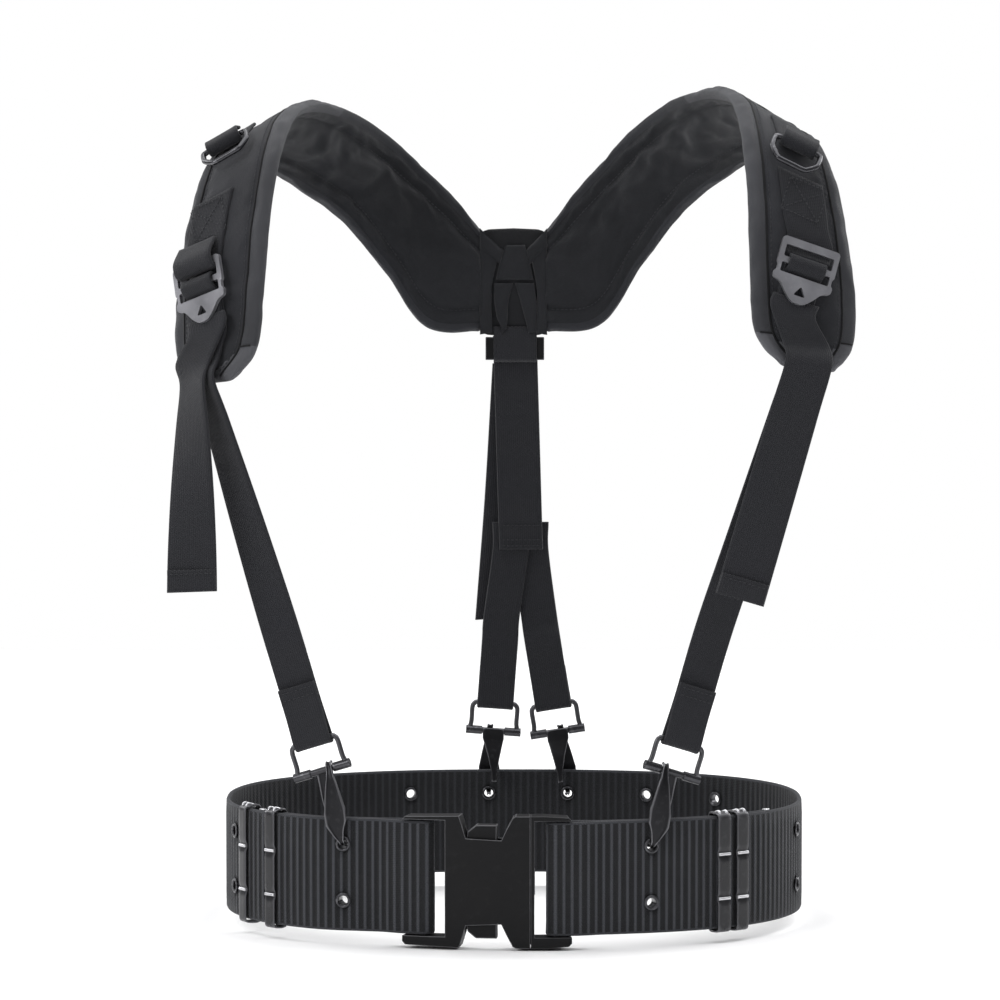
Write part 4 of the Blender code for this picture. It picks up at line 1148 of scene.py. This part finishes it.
def soft_panel(name, left, right, thickness, bulge, out, mat, rows=14, columns=9):
    """A sewn panel between two edge lines, crowned between them."""
    rings, uvs, run, last = [], [], 0.0, None
    for i in range(rows + 1):
        t = i / rows
        a = catmull(left, t * (len(left) - 1))
        b = catmull(right, t * (len(right) - 1))
        middle = (a + b) / 2
        run += (middle - last).length if last else 0.0
        last = middle
        end = math.sin(math.pi * min(max(t, 0.03), 0.97)) ** 0.35
        top, low, coords = [], [], []
        for k in range(columns + 1):
            x = k / columns
            crown = (1 - (2 * x - 1) ** 4) * end
            base = a.lerp(b, x)
            top.append(base + out * (thickness / 2 * max(crown, 0.12) + bulge * crown))
            low.append(base - out * thickness / 2 * max(crown, 0.12))
            coords.append(((b - a).length * x, run))
        rings.append(top + low[::-1])
        uvs.append(coords + coords[::-1])
    obj = rings_to_mesh(name, rings, uvs, [mat])
    sub = obj.modifiers.new("fine", "SUBSURF")
    sub.levels = sub.render_levels = 1
    return obj


def yoke():
    """Centre panel that joins the pads, with the folded flaps round the strap's opening."""
    y = 0.0960
    front = Vector((0, -1, 0))

    def run(points, depth):
        return [Vector((x, y - depth, z)) for x, z in points]

    base = soft_panel("yoke_base", run([(-0.0178, 0.3020), (-0.0176, 0.3330), (-0.0172, 0.3612)], 0.0),
                      run([(0.0178, 0.3020), (0.0176, 0.3330), (0.0172, 0.3612)], 0.0), 0.0066, 0.0, front,
                      "yoke", 18, 12)
    crease(base, 0.0008)
    settle(base, "root", "pad_fabric", "yoke_panel")
    depth = 0.0036
    flaps = [
        ("flap_upper", [(-0.0098, 0.3330), (-0.0076, 0.3425), (-0.0042, 0.3520)],
         [(0.0108, 0.3330), (0.0090, 0.3425), (0.0062, 0.3520)], 0.0008),
        ("flap_left", [(-0.0060, 0.3035), (-0.0098, 0.3160), (-0.0108, 0.3312)],
         [(-0.0032, 0.3065), (-0.0028, 0.3200), (-0.0002, 0.3312)], 0.0006),
        ("flap_right", [(0.0082, 0.3040), (0.0048, 0.3180), (0.0008, 0.3312)],
         [(0.0122, 0.3045), (0.0128, 0.3170), (0.0112, 0.3312)], 0.0006),
        ("flap_side_left", [(-0.0184, 0.3030), (-0.0184, 0.3250), (-0.0182, 0.3580)],
         [(-0.0112, 0.3040), (-0.0120, 0.3250), (-0.0086, 0.3440)], 0.0004),
        ("flap_side_right", [(0.0122, 0.3040), (0.0130, 0.3250), (0.0098, 0.3440)],
         [(0.0184, 0.3030), (0.0184, 0.3250), (0.0182, 0.3580)], 0.0004),
        ("neck_left", [(-0.0184, 0.3500), (-0.0120, 0.3450), (-0.0070, 0.3410)],
         [(-0.0184, 0.3612), (-0.0112, 0.3545), (-0.0052, 0.3490)], 0.0007),
        ("neck_right", [(0.0184, 0.3500), (0.0128, 0.3450), (0.0088, 0.3410)],
         [(0.0184, 0.3612), (0.0122, 0.3545), (0.0070, 0.3490)], 0.0007),
    ]
    pieces = []
    for name, left, right, bulge in flaps:
        panel = soft_panel(name, run(left, depth), run(right, depth), 0.0012, bulge, front, "lining")
        crease(panel, 0.0006)
        pieces.append(panel)
    for panel in pieces:
        panel.modifiers.clear()
    settle(join("yoke_flaps", pieces), "root", "pad_fabric")


# ---------------------------------------------------------------- straps

def weave_edges(along, across, half):
    """Raised selvedges and a slight unevenness along a strap."""
    edge = smoothstep((abs(across) - half + 0.0022) / 0.0010)
    ripple = noise.noise(Vector((along * 30, across * 40, half * 900)))
    return 0.00012 * edge + 0.0001 * ripple


def with_half(stations, width):
    """Stations (centre, across) with the half width that a ribbon needs."""
    return [(c, a, width / 2) for c, a in stations]


def between(a, b, fraction):
    """A station part of the way from one to another."""
    return a[0].lerp(b[0], fraction), a[1].lerp(b[1], fraction)


def smooth_stations(stations, per_span):
    """Stations on a smooth run through the given ones."""
    centres = [c for c, _ in stations]
    acrosses = [a for _, a in stations]
    places = [i / per_span for i in range((len(stations) - 1) * per_span + 1)]
    return [(catmull(centres, t), catmull(acrosses, t)) for t in places]


def profile(place, points):
    """Stations along points that are given up and out from a place."""
    return [(place @ Vector((0, v, w)), place.col[0].xyz) for v, w in points]


def sewn_row(centre, across, width, out):
    """A straight row of stitches across a strap."""
    return [(centre + across * ((k / 8 - 0.5) * width), out) for k in range(9)]


def fold_stations(place, bar_radius, back, land=0.0012):
    """Down one side of a bar, round it, and back up the outer side to a height over the bar's middle."""
    radius = bar_radius + 0.0004 + STRAP_THICK / 2
    turns = [math.pi * i / 8 for i in range(9)]
    line = [(-radius * math.sin(a), -radius * math.cos(a)) for a in turns]
    line += [(0.003, radius), (back * 0.5, max(land, radius - 0.0016)), (back, land)]
    return profile(place, line)


def sew_box(place, half_u, low, high):
    """Box with a cross, as stitch lines on a strap."""
    corners = [place @ Vector((x, y, 0)) for x, y in
               ((-half_u, low), (half_u, low), (half_u, high), (-half_u, high))]
    runs = [*zip(corners, corners[1:] + corners[:1]), (corners[0], corners[2]), (corners[1], corners[3])]
    return [[(a.lerp(b, k / 8), place.col[2].xyz) for k in range(9)] for a, b in runs]


def strap_piece(name, stations, width):
    """Flat strap webbing along the stations."""
    obj = ribbon(name, with_half(stations, width), STRAP_THICK - 0.0001, "webbing", 0.0018, 9, weave_edges)
    return obj


def sew_lines(top, back, width):
    """Cross seams where a strap's folded end is sewn down above a bar."""
    u, _, out = (top.col[i].xyz for i in range(3))
    return [sewn_row(top @ Vector((0, v, 0.0021)), u, width - 0.003, out)
            for v in (back - 0.0022, back - 0.0060)]


def hang(label, strap, seam, start, end):
    """Carry a strap: the left ones ride on the root, the right ones are baked where they lie."""
    for piece in (strap, seam):
        if label == "left":
            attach(piece, "root")
        else:
            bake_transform(piece)
            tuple(start)
            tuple(end)


def load_strap(side, label, hook):
    """The strap from a ladder lock down to its front hook, with its turn through the lock."""
    lock = lock_frame(side)
    through = [(-0.0340, -0.0023), (-0.0250, -0.0023), (-0.0165, -0.0023), (-0.0150, -0.0022),
               (-0.0130, 0.0), (-0.0118, 0.0019), (-0.0098, 0.0030)]
    through += [(-0.0090 + 0.0031 * math.sin(a), 0.0031 * math.cos(a))
                for a in [math.pi * i / 6 for i in range(1, 6)]]
    through += [(-0.0100, -0.0034), (-0.0130, -0.0043), (-0.0250, -0.0043), (-0.0350, -0.0043)]
    stations = profile(lock, through)
    turned = strap_piece(f"webbing_turn_{label}", stations, STRAP_WIDTH)
    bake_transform(turned)
    stations = stations[-2:]
    top = loop_top(hook)
    leaves = pad_station(side, 12, LOAD_END[side], 0.0078)
    near, last = profile(top, [(0.060, -0.0016), (0.020, -0.0012)])
    down = [stations[-1], pad_station(side, 11.25, (MIDDLE[side] + LOAD_END[side]) / 2, 0.0070), leaves]
    down += [between(leaves, near, f) for f in (0.15, 0.4, 0.7, 1.0)] + [last]
    stations += smooth_stations(down, 3)[1:]
    stations += fold_stations(top, HOOK_WIRE, 0.029)
    obj = strap_piece(f"webbing_front_{label}", stations, STRAP_WIDTH)
    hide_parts(f"load_strap_{label}")
    seam = stitches(f"webbing_front_{label}_sewing", sew_lines(top, 0.0290, STRAP_WIDTH))
    hang(label, obj, seam, leaves[0], top.translation)


def strap_tail(side, label):
    """The free end of the webbing, which hangs from under a ladder lock's tab."""
    pivot = lock_frame(side) @ Matrix.Translation((0, -0.0345, -0.0023))
    end = Vector(TAIL_TIP[side])
    over, across = pad_station(side, 12, TAIL_END[side], 0.0130)
    face = Vector((over.z - end.z, 0, end.x - over.x)).normalized()
    halfway = (MIDDLE[side] + TAIL_END[side]) / 2
    leaves = (over + LEFT_TAIL_SHIFT if side < 0 else over, across)
    stations = profile(pivot, [(0.0080, 0.0006), (0.0010, 0.0012)])
    stations.append(pad_station(side, 11.25, halfway, 0.0100))
    stations += [between(leaves, (end, face), f) for f in (0.0, 0.2, 0.55, 1.0)]
    stations = smooth_stations(stations, 4)
    tail = strap_piece(f"webbing_tail_{label}", stations, WEB_WIDTH)
    body = f"strap_tail_{label}"
    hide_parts(body)
    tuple(pivot.translation)
    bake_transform(tail)
    down = (end - over).normalized()
    out = down.cross(face).normalized()
    hem = [(end - down * back + out * rise, face, 0.0121)
           for back, rise in ((0.011, 0.0013), (0.005, 0.00135), (0.0002, 0.0011))]
    hem = ribbon(f"webbing_tail_{label}_hem", hem, 0.0010, "webbing", 0.0015, 7, weave_edges)
    row = sewn_row(end - down * 0.0088 + out * 0.0020, face, 0.022, out)
    sewing = stitches(f"webbing_tail_{label}_sewing", [row])
    settle(hem, body, "strap_webbing")
    settle(sewing, body, "strap_webbing")


def anchor(side, label, tree):
    """Box-stitched webbing on the pad, folded round the ladder lock's top bar."""
    lock = lock_frame(side)
    bar = lock @ Matrix.Translation((0, LOCK_BAR, 0))
    stations = webbing_on(tree, side, [LOCK_S + ds for ds in (-1.15, -0.9, -0.65, -0.4)])
    patch = pad_frame(side, LOCK_S - 0.78, MIDDLE[side], 0)
    patch.translation = (stations[1][0] + stations[2][0]) / 2 + patch.col[2].xyz * (STRAP_THICK / 2 + 0.0001)
    if side < 0:
        stations += fold_stations(bar, 0.0023, 0.0125, -0.0028)
    else:
        behind = [(0.004, -0.0040), (0.0, -0.0038), (-0.0030, -0.0034), (-0.0052, -0.0020), (-0.0058, 0.0)]
        stations += profile(bar, behind)
    obj = strap_piece(f"anchor_{label}", stations, WEB_WIDTH)
    settle(obj, "root", "strap_webbing", f"anchor_webbing_{label}")
    lines = sew_box(patch, 0.0102, -0.0088, 0.0092)
    settle(stitches(f"anchor_sewing_{label}", lines), "root", "strap_webbing")


def d_ring(side, label, tree):
    """Welded ring with a straight bar and angled lower corners, in its webbing loop."""
    place = d_ring_frame(side)
    half, drop = 0.0125, 0.0160
    right = [(half * 0.5, 0), (half - 0.001, -0.0006), (half, -0.0022), (half, -0.0070),
             (half - 0.0006, -0.0098), (half * 0.66, drop * -0.93), (half * 0.5, -drop)]
    outline = [(-half * 0.5, 0), *right, (0, -drop), *((-x, y) for x, y in right[:0:-1])]
    ring = tube(f"dee_ring_{label}", [place @ Vector((x, y, 0)) for x, y in outline], 0.0014, "gunmetal",
                14, True, 4)
    settle(ring, f"d_ring_{label}", "black_metal", f"d_ring_{label}")
    stations = webbing_on(tree, side, [RING_S[side] + ds for ds in (-0.75, -0.55, -0.40)])
    stations += fold_stations(place, 0.0017, 0.0120, -0.0021)
    loop = strap_piece(f"dee_loop_{label}", stations, 0.0190)
    settle(loop, "root", "strap_webbing", f"d_ring_loop_{label}")


def rear_strap():
    """The strap from the yoke to the fork, its layer over the slider, its seams and its free tail."""
    top, low, right = Vector((0.0008, 0, 0.3024)), Vector((0.0043, 0, 0.1850)), Vector((1, 0, 0))
    stations = []
    for i in range(11):
        centre = top.lerp(low, i / 10)
        centre.y = back_y(centre.z)
        stations.append((centre, right))
    settle(strap_piece("webbing_rear", stations, 0.024), "root", "strap_webbing", "rear_strap")
    over = [(0.3075, 0.0940), (0.3030, 0.0933), (0.3005, 0.0929), (0.2955, 0.0928), (0.2905, 0.0930),
            (0.2885, 0.0945)]
    over = [(Vector((0.0010, y, z)), right) for z, y in over]
    settle(strap_piece("webbing_rear_over", over, 0.0235), "root", "strap_webbing")
    rows = [sewn_row(Vector((low.x, back_y(z) - 0.0011, z)), right, 0.021, Vector((0, -1, 0)))
            for z in (0.1872, 0.1905, 0.1985)]
    settle(stitches("webbing_rear_sewing", rows), "root", "strap_webbing")
    across = Vector((1, 0, 0.06))
    route = [(0.0008, 0.0028, 0.2880), (-0.0035, 0.0072, 0.215), (-0.0088, 0.0095, 0.1460)]
    stations = smooth_stations([(Vector((x, back_y(z) + b, z)), across) for x, b, z in route], 4)
    settle(strap_piece("webbing_rear_tail", stations, 0.0245), "rear_tail", "strap_webbing", "rear_tail")


def rear_leg(label, top_x, fork_x, layer, hook):
    """One leg of the fork, from inside the rear strap down to its hook."""
    top = loop_top(hook)
    stations = [(Vector((x, back_y(z) + layer, z)), Vector((1, 0, 0)))
                for x, z in ((top_x, 0.200), (top_x, 0.184), (fork_x, 0.148))]
    stations += [(c, -u) for c, u in profile(top, [(0.035, -0.0012), (0.012, -0.0012)])]
    stations = smooth_stations(stations, 4)
    stations += [(c, -u) for c, u in fold_stations(top, HOOK_WIRE, 0.020)]
    obj = strap_piece(f"webbing_leg_{label}", stations, STRAP_WIDTH)
    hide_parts(f"rear_leg_{label}")
    seam = stitches(f"webbing_leg_{label}_sewing", sew_lines(top, 0.0200, STRAP_WIDTH))
    hang(label, obj, seam, (0.009, 0.10, 0.186), top.translation)


# ---------------------------------------------------------------- hooks

def hook_pieces(place, hook, length):
    """Strap loop, knurled bar, flanged kite plate and spring blade."""
    lean = {"front_left": 1, "front_right": -1, "rear_left": 0.4, "rear_right": -0.4}[place]
    half, high, corner = LOOP_HALF, LOOP_HEIGHT, 0.003
    loop = [(-half - 0.0006, 0.0016), (-half, 0.0050), (-half, high - corner), (-half + 0.001, high - 0.0008),
            (-half + corner, high), (0, high)]
    loop += [(-x, y) for x, y in reversed(loop[:-1])]
    wire = tube(f"hook_{place}_wire", [hook @ Vector((x, y, 0)) for x, y in loop], HOOK_WIRE,
                "black_metal", 12)
    body = "root" if "left" in place else "belt_right"
    settle(wire, body, "black_metal", f"hook_{place}_loop")
    knobs = []
    for k in (-1, 1):
        line = [hook @ Vector((k * x, 0, 0)) for x in (0.0062, 0.0068, 0.0104, 0.0146, 0.0151)]
        knobs.append(tube("knob", line, 0.00235, "gunmetal", 16, per_span=2))
    line = [hook @ Vector((x, 0, 0)) for x in (-0.0150, -0.005, 0.005, 0.0150)]
    knobs.append(tube("bar", line, 0.00165, "black_metal", 16))
    settle(join(f"hook_{place}_roller", knobs), body, "black_metal", f"hook_{place}_bar")
    u = hook.col[0].xyz

    def stations(points):
        return [(hook @ Vector((shift * lean, v, w)), u, wide) for shift, v, w, wide in points]

    def flange(_, across, wide):
        """Raised rims on the outer face."""
        edge = smoothstep((abs(across) - wide + 0.0011) / 0.0006)
        return 0.0006 * edge, 0.0

    knuckle = HOOK_BAR_RADIUS + 0.0009
    turns = [math.radians(degrees) for degrees in (105, 80, 55, 27, 0)]
    plate = [(0.0046, knuckle * math.sin(a), knuckle * math.cos(a), 0.0017) for a in turns]
    plate += [(0.0042, -0.004, 0.0042, 0.0021), (0.0030, -0.012, 0.0051, 0.0040),
              (0.0016, -0.021, 0.0054, 0.0058), (0.0006, -0.027, 0.0053, 0.0056),
              (0.0, 0.0068 - length, 0.0050, 0.0036), (0.0, 0.0022 - length, 0.0044, 0.0017),
              (0.0, 0.0004 - length, 0.0030, 0.0013), (0.0, -length, 0.0005, 0.0012),
              (0.0, -length, -0.0030, 0.0012), (0.0, 0.0006 - length, -0.0055, 0.0012)]
    obj = ribbon(f"hook_{place}_kite", stations(plate), 0.0009, "black_metal", 0.0008, 9, flange)
    settle(obj, body, "black_metal", f"hook_{place}_plate")
    wide, slim = (1.4, 0.6) if place.startswith("rear") else (1.0, 1.0)
    blade = [(0.0002, 0.0016, -0.0029, 0.0042 * wide), (-0.0004, -0.004, -0.0033, 0.0042 * wide),
             (-0.0028, -0.013, -0.0056, 0.0034), (-0.0046, -0.022, -0.0068, 0.0024 * slim),
             (-0.0058, 0.0072 - length, -0.0068, 0.0014)]
    obj = ribbon(f"hook_{place}_spring_blade", stations(blade), 0.0009, "black_metal", 0.0008, 9, flange)
    settle(obj, f"hook_{place}_blade", "black_metal", f"hook_{place}_blade")


# ---------------------------------------------------------------- stage

LIGHTS = [                   # name, place, aim, size and power
    ("overhead", (0.1, 0.2, 2.2), (0, 0, 0), 3.0, 70),
    ("front_left", (-1.5, -1.5, 1.2), (0, 0, 0.2), 1.0, 17),
    ("rim_right", (1.5, 0.9, 1.1), (0, 0, 0.2), 0.9, 14),
    ("rim_left", (-1.5, 0.9, 1.1), (0, 0, 0.2), 0.9, 12),
]
FLOOR_HALF = 1.6
FLOOR_Z = -0.0012
ROOM_GREY = (0.27, 0.27, 0.28, 1)    # what the pieces reflect; the camera sees white
CAMERA_AT = (-0.0073, -2.11, 0.323)
CAMERA_TILT = math.atan(0.05)
LENS = 145.4


def camera():
    """Look at the belt from the front, slightly downwards."""
    cam = add("camera", bpy.data.cameras.new("camera"))
    cam.location = CAMERA_AT
    cam.rotation_euler = (math.pi / 2 - CAMERA_TILT, 0, 0)
    cam.data.lens = LENS
    cam.data.sensor_width = 36.0
    bpy.context.scene.camera = cam


def softbox(name, location, aim, size, watts):
    """A square soft light."""
    light = bpy.data.lights.new(name, "AREA")
    light.size = size
    light.energy = watts
    obj = add(name, light)
    obj.location = location
    obj.rotation_euler = (Vector(aim) - Vector(location)).to_track_quat("-Z", "Y").to_euler()


def studio():
    """White surroundings, soft lights and a pale floor."""
    world = bpy.data.worlds.new("studio")
    bpy.context.scene.world = world
    world.use_nodes = True
    nodes, links = world.node_tree.nodes, world.node_tree.links
    back = nodes["Background"]
    back.inputs["Strength"].default_value = 1.0
    path = nodes.new("ShaderNodeLightPath")
    mix = nodes.new("ShaderNodeMix")
    mix.data_type = "RGBA"
    mix.inputs[6].default_value = ROOM_GREY
    mix.inputs[7].default_value = (1, 1, 1, 1)
    links.new(path.outputs["Is Camera Ray"], mix.inputs["Factor"])
    links.new(mix.outputs[2], back.inputs["Color"])
    for spec in LIGHTS:
        softbox(*spec)
    bm = bmesh.new()
    bmesh.ops.create_grid(bm, x_segments=4, y_segments=4, size=FLOOR_HALF)
    floor = add("floor", to_mesh("floor", bm))
    floor.location = (0, 0, FLOOR_Z)
    mat = bpy.data.materials.new("floor_paper")
    mat.use_nodes = True
    shader = mat.node_tree.nodes["Principled BSDF"]
    shader.inputs["Base Color"].default_value = (0.95, 0.95, 0.95, 1)
    shader.inputs["Roughness"].default_value = 0.9
    shader.inputs["Specular IOR Level"].default_value = 0.0
    floor.data.materials.append(mat)
    bpy.context.scene.view_settings.view_transform = "Standard"


# ---------------------------------------------------------------- assembly

camera()
studio()
belt_webbing()
build_eyelets()
for place, (x, width) in KEEPERS.items():
    keeper(place, x, width)
hard_parts()
for label, side in SIDES:
    surface = surface_of(shoulder_pad(side, label))
    pad_trim(side, label, surface)
    anchor(side, label, surface)
    ladder_lock(side, label)
    d_ring(side, label, surface)
yoke()
hooks = {place: hook_frame(*spec) for place, spec in HOOKS.items()}
for place, spec in HOOKS.items():
    hook_pieces(place, hooks[place], spec[-1])
for label, side in SIDES:
    load_strap(side, label, hooks[f"front_{label}"])
for label, side in SIDES:
    strap_tail(side, label)
rear_strap()
rear_leg("left", -0.0015, -0.0064, 0.0022, hooks["rear_left"])
rear_leg("right", 0.0095, 0.0142, 0.0044, hooks["rear_right"])
